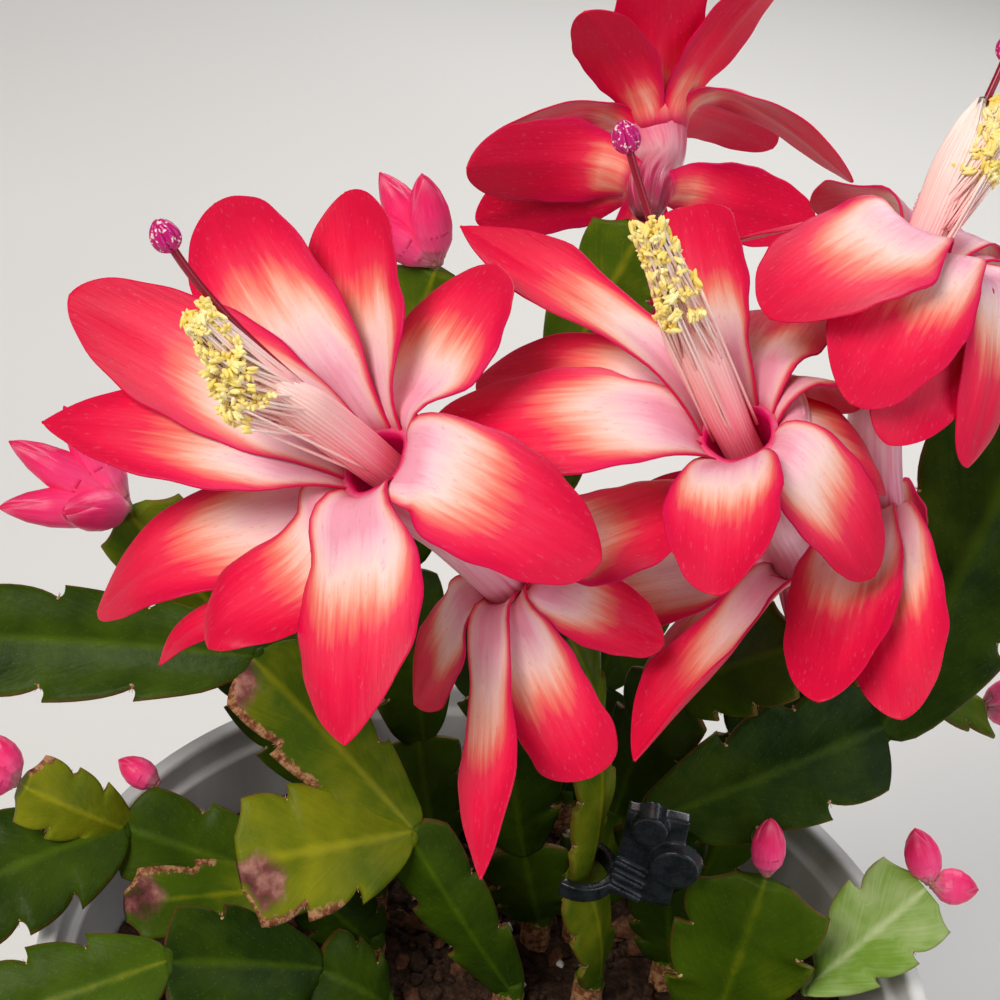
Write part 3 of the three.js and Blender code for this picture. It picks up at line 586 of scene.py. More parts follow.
# Sizes of the marks of each pattern, in millimetres: (across, along) its body, or one size for every way
PETAL_STREAK = (0.526, 8.33)
PETAL_CLOUD = (4.55, 14.3)
PETAL_DASH = (0.25, 0.91)
TUBE_LINE = (0.625, 12.5)
STALK = (0.588, 20)
BUD_LINE = (0.455, 4)
POLLEN_GRAIN = 0.2
POLLEN_PATCH = 1.429
POLLEN_DUST = 0.3846
GREEN_CLOUD = 8.33
GREEN_PORE = 0.588
EDGE_LUMP = 1.25
CORK_CRACK = 0.91
BRUISE_PATCH = 3.33
BRISTLE_HAIR = 0.3333
FLOW_MARK = (16.67, 111.1)
PLASTIC_DUST = 2.381
PLASTIC_GRAIN = 0.5556
CLIP_SCRATCH = 2
PEAT_CRUMB = 1.111
BARK_FIBRE = 1.429
PERLITE_PORE = 0.6667


def per_mm(sizes, *more):
    """How many marks of a pattern lie in a millimetre each way, from the size of one."""
    return (*[1 / size for size in sizes], *more)


def linear(code, alpha=1):
    """An sRGB hex colour as linear light."""
    parts = [int(code[i : i + 2], 16) / 255 for i in (1, 3, 5)]
    return (*[c / 12.92 if c <= 0.04045 else ((c + 0.055) / 1.055) ** 2.4 for c in parts], alpha)


def add(tree, kind, links=None, stops=(), **settings):
    """A node with its settings. A link is a value for an input, or the socket that feeds it."""
    node = tree.nodes.new("ShaderNode" + kind)
    for name, value in settings.items():
        setattr(node, name, value)
    for key, value in (links or {}).items():
        if isinstance(value, bpy.types.NodeSocket):
            tree.links.new(value, node.inputs[key])
        else:
            node.inputs[key].default_value = value
    if stops:
        ramp = node.color_ramp.elements
        while len(ramp) > 1:
            ramp.remove(ramp[-1])
        ramp[0].position, ramp[0].color = stops[0][0], linear(stops[0][1])
        for position, code in stops[1:]:
            ramp.new(position).color = linear(code)
    return node


def new_material(name, shader):
    """A material with a principled shader on its output, and the values that are the same all over."""
    material = bpy.data.materials.new(name)
    material.use_nodes = True
    tree = material.node_tree
    tree.nodes.clear()
    skin = add(tree, "BsdfPrincipled", shader)
    add(tree, "OutputMaterial", {"Surface": skin.outputs["BSDF"]})
    return material, tree, skin


def dress(tree, skin, **sockets):
    """Links what varies over a surface to its shader: colour, roughness or relief."""
    inputs = {"colour": "Base Color", "gloss": "Roughness", "relief": "Normal"}
    for name, socket in sockets.items():
        tree.links.new(socket, skin.inputs[inputs[name]])


def petal_flesh():
    """Living petal: smooth wax over pale cells, so it shines softly.

    Blush white at the heart, peach round that, crimson at the tip and the edge.
    """
    shader = {"Roughness": 0.42, "IOR": 1.4, "Specular IOR Level": 0.22}
    material, tree, skin = new_material("petal_flesh", shader)
    spot = add(tree, "Attribute", attribute_name="spot").outputs["Vector"]
    along, across, face = add(tree, "SeparateXYZ", {0: spot}).outputs
    place = add(tree, "Attribute", attribute_name="place").outputs["Vector"]
    # Streaks half a millimetre wide run the length of the petal, and broad clouds of colour wander across it
    streak = {0: place, 1: per_mm(PETAL_STREAK, 7.0)}
    streak = add(tree, "VectorMath", streak, operation="MULTIPLY").outputs[0]
    veins = {"Vector": streak, "Scale": 1.0, "Detail": 4.0, "Roughness": 0.6}
    veins = add(tree, "TexNoise", veins).outputs[0]
    broad = add(tree, "VectorMath", {0: place, 1: per_mm(PETAL_CLOUD, 3.0)}, operation="MULTIPLY").outputs[0]
    clouds = add(tree, "TexNoise", {"Vector": broad, "Scale": 1.0, "Detail": 1.0}).outputs[0]
    width = add(tree, "Math", {0: across}, operation="ABSOLUTE").outputs[0]
    side = add(tree, "Math", {0: width, 1: 4.0}, operation="POWER").outputs[0]
    line = add(tree, "Math", {0: width, 1: 7.0}, operation="POWER").outputs[0]
    depth = add(tree, "MapRange", {"Value": along, "From Min": 0.22, "From Max": 0.92}).outputs[0]
    bands = ((side, 0.62, 0.0), (veins, 0.3, -0.15), (clouds, 0.34, -0.17), (face, 0.2, 0.0))
    for band, weight, shift in bands:
        part = add(tree, "Math", {0: band, 1: weight, 2: shift}, operation="MULTIPLY_ADD").outputs[0]
        depth = add(tree, "Math", {0: depth, 1: part}, operation="ADD").outputs[0]
    blush = add(
        tree,
        "ValToRGB",
        {0: depth},
        stops=[
            (0.0, "#eca0b4"),
            (0.12, "#f3bfc8"),
            (0.27, "#f8d2c8"),
            (0.39, "#f7b6a0"),
            (0.51, "#f27868"),
            (0.64, "#ee3050"),
            (0.8, "#e81542"),
            (1.0, "#d60b3a"),
        ],
    ).outputs[0]
    # Short darker dashes, a quarter of a millimetre wide, where pigment lies in single cells
    cells = add(tree, "VectorMath", {0: place, 1: per_mm(PETAL_DASH, 5.0)}, operation="MULTIPLY").outputs[0]
    dashes = add(tree, "TexNoise", {"Vector": cells, "Scale": 1.0, "Detail": 2.0}).outputs[0]
    dash = {"Value": dashes, "From Min": 0.63, "From Max": 0.72, "To Max": 0.28}
    dash = add(tree, "MapRange", dash).outputs[0]
    blush = add(tree, "Mix", {0: dash, 6: blush, 7: linear("#d8607a")}, data_type="RGBA").outputs[2]
    # A magenta line follows the edge, strongest towards the base, and the foot of the petal is magenta
    near = {"Value": along, "From Min": 0.75, "From Max": 0.3, "To Min": 0.15}
    near = add(tree, "MapRange", near).outputs[0]
    rim = add(tree, "Math", {0: line, 1: near}, operation="MULTIPLY").outputs[0]
    foot = {"Value": along, "From Min": 0.1, "From Max": 0.0}
    foot = add(tree, "MapRange", foot, interpolation_type="SMOOTHSTEP").outputs[0]
    magenta = add(tree, "Math", {0: rim, 1: foot}, operation="MAXIMUM").outputs[0]
    magenta = add(tree, "Math", {0: magenta, 1: 0.9}, operation="MULTIPLY").outputs[0]
    colour = add(tree, "Mix", {0: magenta, 6: blush, 7: linear("#d20a55")}, data_type="RGBA").outputs[2]
    relief = add(tree, "Math", {0: dashes, 1: 0.2, 2: veins}, operation="MULTIPLY_ADD").outputs[0]
    bump = add(tree, "Bump", {"Height": relief, "Strength": 0.22, "Distance": 0.3 * MM}).outputs[0]
    dress(tree, skin, colour=colour, relief=bump)
    return material


def tube_flesh():
    """Flower tube: petals grown together. Pale pink with red lines, magenta in the throat and at the foot."""
    material, tree, skin = new_material("tube_flesh", {"Roughness": 0.35, "IOR": 1.4})
    spot = add(tree, "Attribute", attribute_name="spot").outputs["Vector"]
    along, _, face = add(tree, "SeparateXYZ", {0: spot}).outputs
    place = add(tree, "Attribute", attribute_name="place").outputs["Vector"]
    stretched = {0: place, 1: per_mm(TUBE_LINE, 1.0)}
    stretched = add(tree, "VectorMath", stretched, operation="MULTIPLY").outputs[0]
    lines = add(tree, "TexNoise", {"Vector": stretched, "Scale": 1.0, "Detail": 3.0}).outputs[0]
    shade = add(tree, "Math", {0: lines, 1: 0.7, 2: -0.35}, operation="MULTIPLY_ADD").outputs[0]
    shade = add(tree, "Math", {0: along, 1: shade}, operation="ADD").outputs[0]
    outside = add(
        tree,
        "ValToRGB",
        {0: shade},
        stops=[(0.0, "#7c2f3a"), (0.14, "#b8305a"), (0.3, "#e58aa0"), (0.6, "#f0bcc6"), (0.95, "#e0708c")],
    ).outputs[0]
    colour = add(tree, "Mix", {0: face, 6: outside, 7: linear("#dc1262")}, data_type="RGBA").outputs[2]
    bump = add(tree, "Bump", {"Height": lines, "Strength": 0.3, "Distance": 0.4 * MM}).outputs[0]
    dress(tree, skin, colour=colour, relief=bump)
    return material


def filament_flesh():
    """Filaments: thin wet stalks side by side, rose in the throat and nearly white above."""
    shader = {"Roughness": 0.36, "IOR": 1.4, "Specular IOR Level": 0.3}
    material, tree, skin = new_material("filament_flesh", shader)
    spot = add(tree, "Attribute", attribute_name="spot").outputs["Vector"]
    along = add(tree, "SeparateXYZ", {0: spot}).outputs[0]
    place = add(tree, "Attribute", attribute_name="place").outputs["Vector"]
    # Each stalk has its own tone over its length
    stretched = {0: place, 1: per_mm(STALK, 3.0)}
    stretched = add(tree, "VectorMath", stretched, operation="MULTIPLY").outputs[0]
    stalks = {"Vector": stretched, "Scale": 1.0, "Detail": 3.0, "Roughness": 0.65}
    stalks = add(tree, "TexNoise", stalks).outputs[0]
    shade = add(tree, "Math", {0: stalks, 1: 0.36, 2: -0.18}, operation="MULTIPLY_ADD").outputs[0]
    shade = add(tree, "Math", {0: along, 1: shade}, operation="ADD").outputs[0]
    colour = add(
        tree,
        "ValToRGB",
        {0: shade},
        stops=[(0.1, "#e63a68"), (0.28, "#fb7690"), (0.46, "#ffabaf"), (0.68, "#ffd2c9"), (1.0, "#ffeee4")],
    ).outputs[0]
    bump = add(tree, "Bump", {"Height": stalks, "Strength": 0.3, "Distance": 0.3 * MM}).outputs[0]
    dress(tree, skin, colour=colour, relief=bump)
    return material


def pollen():
    """Anthers: dry pale yellow pollen with no shine.

    Its grains are a twentieth of a millimetre, too fine to see, so they are drawn four times as coarse.
    """
    material, tree, skin = new_material("pollen", {"Roughness": 0.9, "Specular IOR Level": 0.2})
    place = add(tree, "TexCoord").outputs["Object"]
    grains = {"Vector": place, "Scale": 1 / (POLLEN_GRAIN * MM), "Detail": 2.0}
    grains = add(tree, "TexNoise", grains).outputs[0]
    patches = {"Vector": place, "Scale": 1 / (POLLEN_PATCH * MM), "Detail": 1.0}
    patches = add(tree, "TexNoise", patches).outputs[0]
    yellows = [(0.3, "#f6d968"), (0.5, "#fce890"), (0.7, "#fef4bc")]
    colour = add(tree, "ValToRGB", {0: patches}, stops=yellows).outputs[0]
    bump = add(tree, "Bump", {"Height": grains, "Strength": 0.4, "Distance": 0.1 * MM}).outputs[0]
    dress(tree, skin, colour=colour, relief=bump)
    return material


def style_flesh():
    """Style and stigma: smooth dark magenta, wet enough to shine, with pale pollen caught on the lobes."""
    material, tree, skin = new_material("style_flesh", {"Roughness": 0.28, "IOR": 1.42})
    spot = add(tree, "Attribute", attribute_name="spot").outputs["Vector"]
    along, _, lobes = add(tree, "SeparateXYZ", {0: spot}).outputs
    reds = [(0.0, "#d04a86"), (0.3, "#b00f3c"), (0.75, "#8c0826")]
    shaft = add(tree, "ValToRGB", {0: along}, stops=reds).outputs[0]
    place = add(tree, "TexCoord").outputs["Object"]
    dust = {"Vector": place, "Scale": 1 / (POLLEN_DUST * MM), "Detail": 1.0}
    dust = add(tree, "TexNoise", dust).outputs[0]
    caught = add(tree, "ValToRGB", {0: dust}, stops=[(0.6, "#bb0f6c"), (0.67, "#f3d9d0")]).outputs[0]
    colour = add(tree, "Mix", {0: lobes, 6: shaft, 7: caught}, data_type="RGBA").outputs[2]
    dress(tree, skin, colour=colour)
    return material


def stem_skin(name, deep, mid, light, veins_show):
    """Cactus skin: a smooth waxy cuticle on watery flesh, so it is satin.

    Its green is deep in old segments and light in young ones. Cork and bruises are rough and dry.
    """
    material, tree, skin = new_material(name, {"IOR": 1.42, "Specular IOR Level": 0.1})
    place = add(tree, "Attribute", attribute_name="place").outputs["Vector"]
    spot = add(tree, "Attribute", attribute_name="spot").outputs["Vector"]
    along, across, _ = add(tree, "SeparateXYZ", {0: spot}).outputs
    age = add(tree, "Attribute", attribute_name="age").outputs["Vector"]
    lightness, corked, bruised = add(tree, "SeparateXYZ", {0: age}).outputs
    width = add(tree, "Math", {0: across}, operation="ABSOLUTE").outputs[0]
    # Broad clouds of light and dark green
    cloud = {"Vector": place, "Scale": 1 / GREEN_CLOUD, "Detail": 3.0, "Roughness": 0.55}
    clouds = add(tree, "TexNoise", cloud).outputs[0]
    tone = add(tree, "Math", {0: clouds, 1: 0.8, 2: -0.4}, operation="MULTIPLY_ADD").outputs[0]
    tone = add(tree, "Math", {0: lightness, 1: tone}, operation="ADD").outputs[0]
    # Faint veins, about 24 to a segment, lean forward from the midrib to the teeth
    lead = add(tree, "Math", {0: width, 1: -0.55, 2: along}, operation="MULTIPLY_ADD").outputs[0]
    way = add(tree, "CombineXYZ", {0: lead, 1: width, 2: across}).outputs[0]
    way = add(tree, "VectorMath", {0: way, 1: (24.0, 1.6, 0.4)}, operation="MULTIPLY").outputs[0]
    veins = add(tree, "TexNoise", {"Vector": way, "Scale": 1.0, "Detail": 3.0, "Roughness": 0.55}).outputs[0]
    faint = {0: veins, 1: veins_show, 2: -veins_show / 2}
    faint = add(tree, "Math", faint, operation="MULTIPLY_ADD").outputs[0]
    tone = add(tree, "Math", {0: tone, 1: faint}, operation="ADD").outputs[0]
    middle = {"Value": width, "From Min": 0.14, "From Max": 0.0}
    rib = add(tree, "MapRange", middle, interpolation_type="SMOOTHSTEP").outputs[0]
    tone = add(tree, "Math", {0: rib, 1: 0.22, 2: tone}, operation="MULTIPLY_ADD").outputs[0]
    green = add(tree, "ValToRGB", {0: tone}, stops=[(0.0, deep), (0.5, mid), (1.0, light)]).outputs[0]
    # Pale breathing pores, too fine to see in life, are drawn coarser
    pores = add(tree, "TexVoronoi", {"Vector": place, "Scale": 1 / GREEN_PORE}).outputs["Distance"]
    pores = {"Value": pores, "From Min": 0.14, "From Max": 0.06, "To Max": 0.12}
    pores = add(tree, "MapRange", pores).outputs[0]
    green = add(tree, "Mix", {0: pores, 6: green, 7: linear("#b9cf8c")}, data_type="RGBA").outputs[2]
    # A thin red-brown line follows the edge
    rough = add(tree, "TexNoise", {"Vector": place, "Scale": 1 / EDGE_LUMP, "Detail": 3.0}).outputs[0]
    line = add(tree, "Math", {0: rough, 1: 0.08, 2: width}, operation="MULTIPLY_ADD").outputs[0]
    line = {"Value": line, "From Min": 0.99, "From Max": 1.06, "To Max": 0.6}
    line = add(tree, "MapRange", line).outputs[0]
    green = add(tree, "Mix", {0: line, 6: green, 7: linear("#7a4426")}, data_type="RGBA").outputs[2]
    # A bruise dries to a dull maroon
    patch = {"Vector": place, "Scale": 1 / BRUISE_PATCH, "Detail": 4.0, "Roughness": 0.6}
    patches = add(tree, "TexNoise", patch).outputs[0]
    spread = add(tree, "Math", {0: patches, 1: 2.2, 2: -1.1}, operation="MULTIPLY_ADD").outputs[0]
    sunk = add(tree, "Math", {0: bruised, 1: spread, 2: bruised}, operation="MULTIPLY_ADD").outputs[0]
    sunk = add(tree, "MapRange", {"Value": sunk, "From Min": 0.2, "From Max": 0.7, "To Max": 0.9}).outputs[0]
    maroons = [(0.36, "#4c2028"), (0.5, "#7a4044"), (0.66, "#b27c72")]
    dull = add(tree, "ValToRGB", {0: patches}, stops=maroons).outputs[0]
    green = add(tree, "Mix", {0: sunk, 6: green, 7: dull}, data_type="RGBA").outputs[2]
    # Cork is a dry brown crust with cracks and a ragged edge
    crack = {"Vector": place, "Scale": 1 / CORK_CRACK, "Detail": 5.0, "Roughness": 0.7}
    crust = add(tree, "TexNoise", crack).outputs[0]
    ragged = add(tree, "Math", {0: crust, 1: 1.1, 2: -0.55}, operation="MULTIPLY_ADD").outputs[0]
    reach = add(tree, "Math", {0: corked, 1: ragged}, operation="ADD").outputs[0]
    cork = add(tree, "MapRange", {"Value": reach, "From Min": 0.45, "From Max": 0.62}).outputs[0]
    browns = [(0.3, "#3f2318"), (0.46, "#7b4a30"), (0.6, "#b58a60"), (0.75, "#5d3c28")]
    dry = add(tree, "ValToRGB", {0: crust}, stops=browns).outputs[0]
    colour = add(tree, "Mix", {0: cork, 6: green, 7: dry}, data_type="RGBA").outputs[2]
    dryness = add(tree, "Math", {0: cork, 1: sunk}, operation="MAXIMUM").outputs[0]
    gloss = add(tree, "MapRange", {"Value": dryness, "To Min": 0.36, "To Max": 0.8}).outputs[0]
    gloss = add(tree, "Math", {0: rough, 1: 0.12, 2: gloss}, operation="MULTIPLY_ADD").outputs[0]
    lumps = add(tree, "Math", {0: crust, 1: dryness}, operation="MULTIPLY").outputs[0]
    lumps = add(tree, "Math", {0: lumps, 1: 2.0, 2: rough}, operation="MULTIPLY_ADD").outputs[0]
    lumps = add(tree, "Math", {0: veins, 1: 0.3, 2: lumps}, operation="MULTIPLY_ADD").outputs[0]
    bump = add(tree, "Bump", {"Height": lumps, "Strength": 0.2, "Distance": 0.6 * MM}).outputs[0]
    dress(tree, skin, colour=colour, gloss=gloss, relief=bump)
    return material


def bristle():
    """Areoles: felt and short bristles of dry brown hair."""
    material, tree, skin = new_material("areole_bristle", {"Roughness": 0.8})
    place = add(tree, "TexCoord").outputs["Object"]
    hairs = {"Vector": place, "Scale": 1 / (BRISTLE_HAIR * MM), "Detail": 2.0}
    hairs = add(tree, "TexNoise", hairs).outputs[0]
    browns = [(0.35, "#7a4a2c"), (0.65, "#d2ac80")]
    dress(tree, skin, colour=add(tree, "ValToRGB", {0: hairs}, stops=browns).outputs[0])
    return material


def bud_flesh():
    """Bud: petals closed over each other, hot pink with a soft bloom of wax, a paler rim and a brown foot."""
    material, tree, skin = new_material("bud_flesh", {"Roughness": 0.38, "IOR": 1.4})
    spot = add(tree, "Attribute", attribute_name="spot").outputs["Vector"]
    along, _, edge = add(tree, "SeparateXYZ", {0: spot}).outputs
    place = add(tree, "Attribute", attribute_name="place").outputs["Vector"]
    stretched = add(tree, "VectorMath", {0: place, 1: per_mm(BUD_LINE, 5.0)}, operation="MULTIPLY").outputs[0]
    lines = add(tree, "TexNoise", {"Vector": stretched, "Scale": 1.0, "Detail": 3.0}).outputs[0]
    shade = add(tree, "Math", {0: lines, 1: 0.5, 2: -0.25}, operation="MULTIPLY_ADD").outputs[0]
    shade = add(tree, "Math", {0: along, 1: shade}, operation="ADD").outputs[0]
    pink = add(
        tree,
        "ValToRGB",
        {0: shade},
        stops=[(0.0, "#a06a50"), (0.1, "#e08a9c"), (0.28, "#f9508a"), (0.65, "#f52c70"), (1.0, "#d81652")],
    ).outputs[0]
    rim = add(tree, "Math", {0: edge, 1: 0.35}, operation="MULTIPLY").outputs[0]
    colour = add(tree, "Mix", {0: rim, 6: pink, 7: linear("#f48fae")}, data_type="RGBA").outputs[2]
    bump = add(tree, "Bump", {"Height": lines, "Strength": 0.3, "Distance": 0.3 * MM}).outputs[0]
    dress(tree, skin, colour=colour, relief=bump)
    return material


def nursery_plastic():
    """Recycled polypropylene, injection moulded: satin grey with a fine grain and faint flow marks."""
    material, tree, skin = new_material("nursery_plastic", {"IOR": 1.49, "Specular IOR Level": 0.4})
    place = add(tree, "TexCoord").outputs["Object"]
    height = add(tree, "SeparateXYZ", {0: place}).outputs[2]
    across, down = per_mm(FLOW_MARK)
    flow = {0: place, 1: (across / MM, across / MM, down / MM)}
    flow = add(tree, "VectorMath", flow, operation="MULTIPLY").outputs[0]
    marks = add(tree, "TexNoise", {"Vector": flow, "Scale": 1.0, "Detail": 5.0, "Roughness": 0.65}).outputs[0]
    greys = [(0.3, "#b8b7b5"), (0.5, "#c6c5c3"), (0.7, "#d0cfcd")]
    grey = add(tree, "ValToRGB", {0: marks}, stops=greys).outputs[0]
    # Dried lime and peat dust lie at the foot, and thinly elsewhere
    low = add(tree, "MapRange", {"Value": height, "From Min": 16 * MM, "From Max": 0.0}).outputs[0]
    dust = {"Vector": place, "Scale": 1 / (PLASTIC_DUST * MM), "Detail": 6.0, "Roughness": 0.75}
    dust = add(tree, "TexNoise", dust).outputs[0]
    dust = add(tree, "Math", {0: dust, 1: 0.8, 2: low}, operation="MULTIPLY_ADD").outputs[0]
    dust = add(tree, "MapRange", {"Value": dust, "From Min": 0.55, "From Max": 1.3}).outputs[0]
    dust = add(tree, "Math", {0: dust, 1: 0.5}, operation="MULTIPLY").outputs[0]
    colour = add(tree, "Mix", {0: dust, 6: grey, 7: linear("#6d5c4c")}, data_type="RGBA").outputs[2]
    gloss = add(tree, "Math", {0: marks, 1: 0.22, 2: 0.3}, operation="MULTIPLY_ADD").outputs[0]
    gloss = add(tree, "Math", {0: dust, 1: 0.5, 2: gloss}, operation="MULTIPLY_ADD").outputs[0]
    grain = {"Vector": place, "Scale": 1 / (PLASTIC_GRAIN * MM), "Detail": 2.0}
    grain = add(tree, "TexNoise", grain).outputs[0]
    bump = add(tree, "Bump", {"Height": grain, "Strength": 0.12, "Distance": 0.2 * MM}).outputs[0]
    dress(tree, skin, colour=colour, gloss=gloss, relief=bump)
    return material


def crumbly(name, dark, mid, light, size):
    """Peat, bark or perlite: dry, rough and matt, with marks about a millimetre across."""
    material, tree, skin = new_material(name, {"Roughness": 0.95, "Specular IOR Level": 0.2})
    place = add(tree, "TexCoord").outputs["Object"]
    crumbs = {"Vector": place, "Scale": 1 / (size * MM), "Detail": 6.0, "Roughness": 0.7}
    crumbs = add(tree, "TexNoise", crumbs).outputs[0]
    colour = add(tree, "ValToRGB", {0: crumbs}, stops=[(0.3, dark), (0.5, mid), (0.72, light)]).outputs[0]
    bump = add(tree, "Bump", {"Height": crumbs, "Strength": 0.8, "Distance": 0.8 * MM}).outputs[0]
    dress(tree, skin, colour=colour, relief=bump)
    return material


def clip_plastic():
    """Charcoal ABS, moulded and polished: it shines, but for fine scratches from handling."""
    material, tree, skin = new_material("clip_plastic", {"IOR": 1.53, "Specular IOR Level": 0.5})
    place = add(tree, "TexCoord").outputs["Object"]
    wear = {"Vector": place, "Scale": 1 / (CLIP_SCRATCH * MM), "Detail": 5.0, "Roughness": 0.7}
    wear = add(tree, "TexNoise", wear).outputs[0]
    colour = add(tree, "ValToRGB", {0: wear}, stops=[(0.35, "#14191c"), (0.7, "#2b3337")]).outputs[0]
    gloss = add(tree, "Math", {0: wear, 1: 0.3, 2: 0.12}, operation="MULTIPLY_ADD").outputs[0]
    dress(tree, skin, colour=colour, gloss=gloss)
    return material


def floor_paper():
    """Studio floor: matt pale paper, barely clouded, in clouds a third of a metre wide."""
    material, tree, skin = new_material("studio_paper", {"Roughness": 0.9, "Specular IOR Level": 0.1})
    place = add(tree, "TexCoord").outputs["Object"]
    clouds = add(tree, "TexNoise", {"Vector": place, "Scale": 3.0, "Detail": 2.0}).outputs[0]
    papers = [(0.3, "#dcdad6"), (0.7, "#e4e2de")]
    dress(tree, skin, colour=add(tree, "ValToRGB", {0: clouds}, stops=papers).outputs[0])
    return material


# Tepals

TEPAL_COLUMNS = np.array(
    [-1, -0.965, -0.87, -0.72, -0.54, -0.35, -0.17, 0, 0.17, 0.35, 0.54, 0.72, 0.87, 0.965, 1]
)
TEPAL_ROWS = 1 - (1 - np.linspace(0, 1, 38)) ** 1.5
TEPAL_MIDDLE = 0.62
TEPAL_EDGE = 0.26
BASE_CUP = 1.1
TEPAL_GAP = 0.55
EASE_FROM = 0.1
EASE_REACH = 2.6
EASE_ROWS = 4
EASE_PASSES = 3
TIP_HALF_WIDTH = 0.15
FOLD_DEPTH = 0.28
FOLD_SHARE = 0.16


def tepal_line(start, lean, length, bend, curl):
    """How far out and how high the middle line of a tepal has come, and its angle, at each row."""
    fine = np.linspace(0, 1, 241)
    bent = smooth(fine / bend)
    angle = np.radians(lerp(start, lean, bent) + curl * (smooth((fine - 0.5) / 0.5) - 0.25 * bent))
    step = length / (len(fine) - 1)
    out = np.concatenate([[0], np.cumsum(np.sin(angle[:-1] + np.diff(angle) / 2))]) * step
    high = np.concatenate([[0], np.cumsum(np.cos(angle[:-1] + np.diff(angle) / 2))]) * step
    return [np.interp(TEPAL_ROWS, fine, values) for values in (out, high, angle)]


def tepal_half_width(outline, width):
    """Half the width of a tepal at each row: it widens from its base and closes to a tip."""
    s = TEPAL_ROWS
    if outline == "lance":
        rise = lerp(0.6, 1, smooth((s - 0.35) / 0.35))
        fall = (1 - np.clip((s - 0.66) / 0.34, 0, 1) ** 1.3) ** 0.85
        return np.maximum(TIP_HALF_WIDTH, rise * fall * width / 2)
    if outline == "blunt":
        rise = lerp(0.62, 1, smooth(s / 0.6))
        tip = (1 - np.clip((s - 0.8) / 0.2, 0, 1) ** 2.6) ** 0.5
        return np.maximum(TIP_HALF_WIDTH, rise * tip * width / 2)
    rise = lerp(TEPAL_BASE_SHARE, 1, smooth(s / TEPAL_WIDEST))
    past = np.clip((s - TEPAL_WIDEST) / (1 - TEPAL_WIDEST), 0, 1)
    tip = (1 - past**2.1) ** 0.85 if outline == "point" else (1 - past**2.6) ** 0.6
    return np.maximum(TIP_HALF_WIDTH, rise * tip * width / 2)


def tepal_surface(seat, row, ring):
    """The middle surface of a tepal: a grid of points with their normals, thickness, spots and places."""
    centre, axis, up, side = seat
    numbers, says = (row[:-1], row[-1]) if isinstance(row[-1], dict) else (row, {})
    clock, lean, length, width, bend = (*numbers, TEPAL_BEND)[:5]
    draw = np.random.default_rng(int(clock * 7 + lean * 3 + length))
    roll = says.get("roll", draw.uniform(-0.7, 0.1))
    tip_roll = says.get("tip_roll", draw.uniform(-0.4, 0.4))
    curl = says.get("curl", draw.uniform(0, 16))
    twist = math.radians(says.get("twist", draw.uniform(-9, 9)))
    angle = math.radians(clock)
    outward = up * math.cos(angle) + side * math.sin(angle)
    across = np.cross(axis, outward)
    out, high, lean_now = tepal_line(ring["start"], lean, length, bend, curl)
    half = tepal_half_width(says.get("outline"), width)
    s, v = TEPAL_ROWS[:, None], TEPAL_COLUMNS[None, :]
    middle = centre + np.outer(out + ring["radius"], outward) + np.outer(high - ring["sink"], axis)
    normal = np.outer(-np.cos(lean_now), outward) + np.outer(np.sin(lean_now), axis)
    ways = np.outer(np.sin(lean_now), outward) + np.outer(np.cos(lean_now), axis)
    turn = (twist * smooth(TEPAL_ROWS))[:, None]
    sideways = across * np.cos(turn) + normal * np.sin(turn)
    normal = normal * np.cos(turn) - across * np.sin(turn)
    base = BASE_CUP * np.clip(1 - s / 0.32, 0, 1)
    bow = base + lerp(roll, tip_roll, smooth(s)) * smooth(s / 0.3)
    bow = np.where(np.abs(bow) < 1e-3, 1e-3, bow)
    reach = half[:, None] * np.sin(bow * v) / bow
    # The edge is uneven by a few hundredths of the width, each side in its own way
    phase = draw.uniform(0, 1)
    uneven = 0.028 * np.sin(2 * np.pi * (2.2 * s + phase) + 2.1 * np.sign(v))
    uneven = uneven + 0.016 * np.sin(2 * np.pi * (5.3 * s - phase) + 1.3 * np.sign(v))
    reach = reach * (1 + uneven * np.abs(v) ** 3 * smooth((1 - s) / 0.1))
    lift = half[:, None] * (1 - np.cos(bow * v)) / bow
    ripple_height = draw.uniform(0.02, 0.07)
    ripples = draw.uniform(1.0, 1.9) * s + draw.uniform()
    ripple = ripple_height * np.sin(2 * np.pi * ripples + np.sign(v))
    lift = lift + half[:, None] * ripple * v**2 * smooth(s / 0.3)
    # A shallow fold lies along the middle, and the tip is nipped a little
    fold = FOLD_DEPTH * np.exp(-((v / FOLD_SHARE) ** 2))
    lift = lift - fold * smooth(s / 0.3) * smooth((1 - s) / 0.2)
    notch = 0.5 * draw.uniform(-1, 1) * v * smooth((s - 0.8) / 0.2)
    surface = middle[:, None] + sideways[:, None] * reach[..., None] + normal[:, None] * lift[..., None]
    surface = surface + ways[:, None] * (notch * half[:, None] * 0.3)[..., None]
    local = normal[:, None] * np.cos(bow * v)[..., None] - sideways[:, None] * np.sin(bow * v)[..., None]
    zero = np.zeros(reach.shape)
    return {
        "points": surface,
        "normals": local,
        "thick": lerp(TEPAL_MIDDLE, TEPAL_EDGE, np.abs(v) ** 1.6) * lerp(1.0, 0.6, s) / 2,
        "spot": np.stack([zero + s, zero + v, zero], -1),
        "place": np.stack([half[:, None] * v, zero + s * length, zero + draw.uniform(0, 9)], -1),
    }


def grid_tree(petals):
    """A search tree over the surfaces of some petals."""
    rows, columns = len(TEPAL_ROWS), len(TEPAL_COLUMNS)
    index = np.arange(rows * columns).reshape(rows, columns)
    quads = np.stack([index[:-1, :-1], index[1:, :-1], index[1:, 1:], index[:-1, 1:]], -1).reshape(-1, 4)
    points = np.concatenate([petal["points"].reshape(-1, 3) for petal in petals])
    faces = np.concatenate([quads + i * rows * columns for i in range(len(petals))])
    return BVHTree.FromPolygons(points.tolist(), faces.tolist())


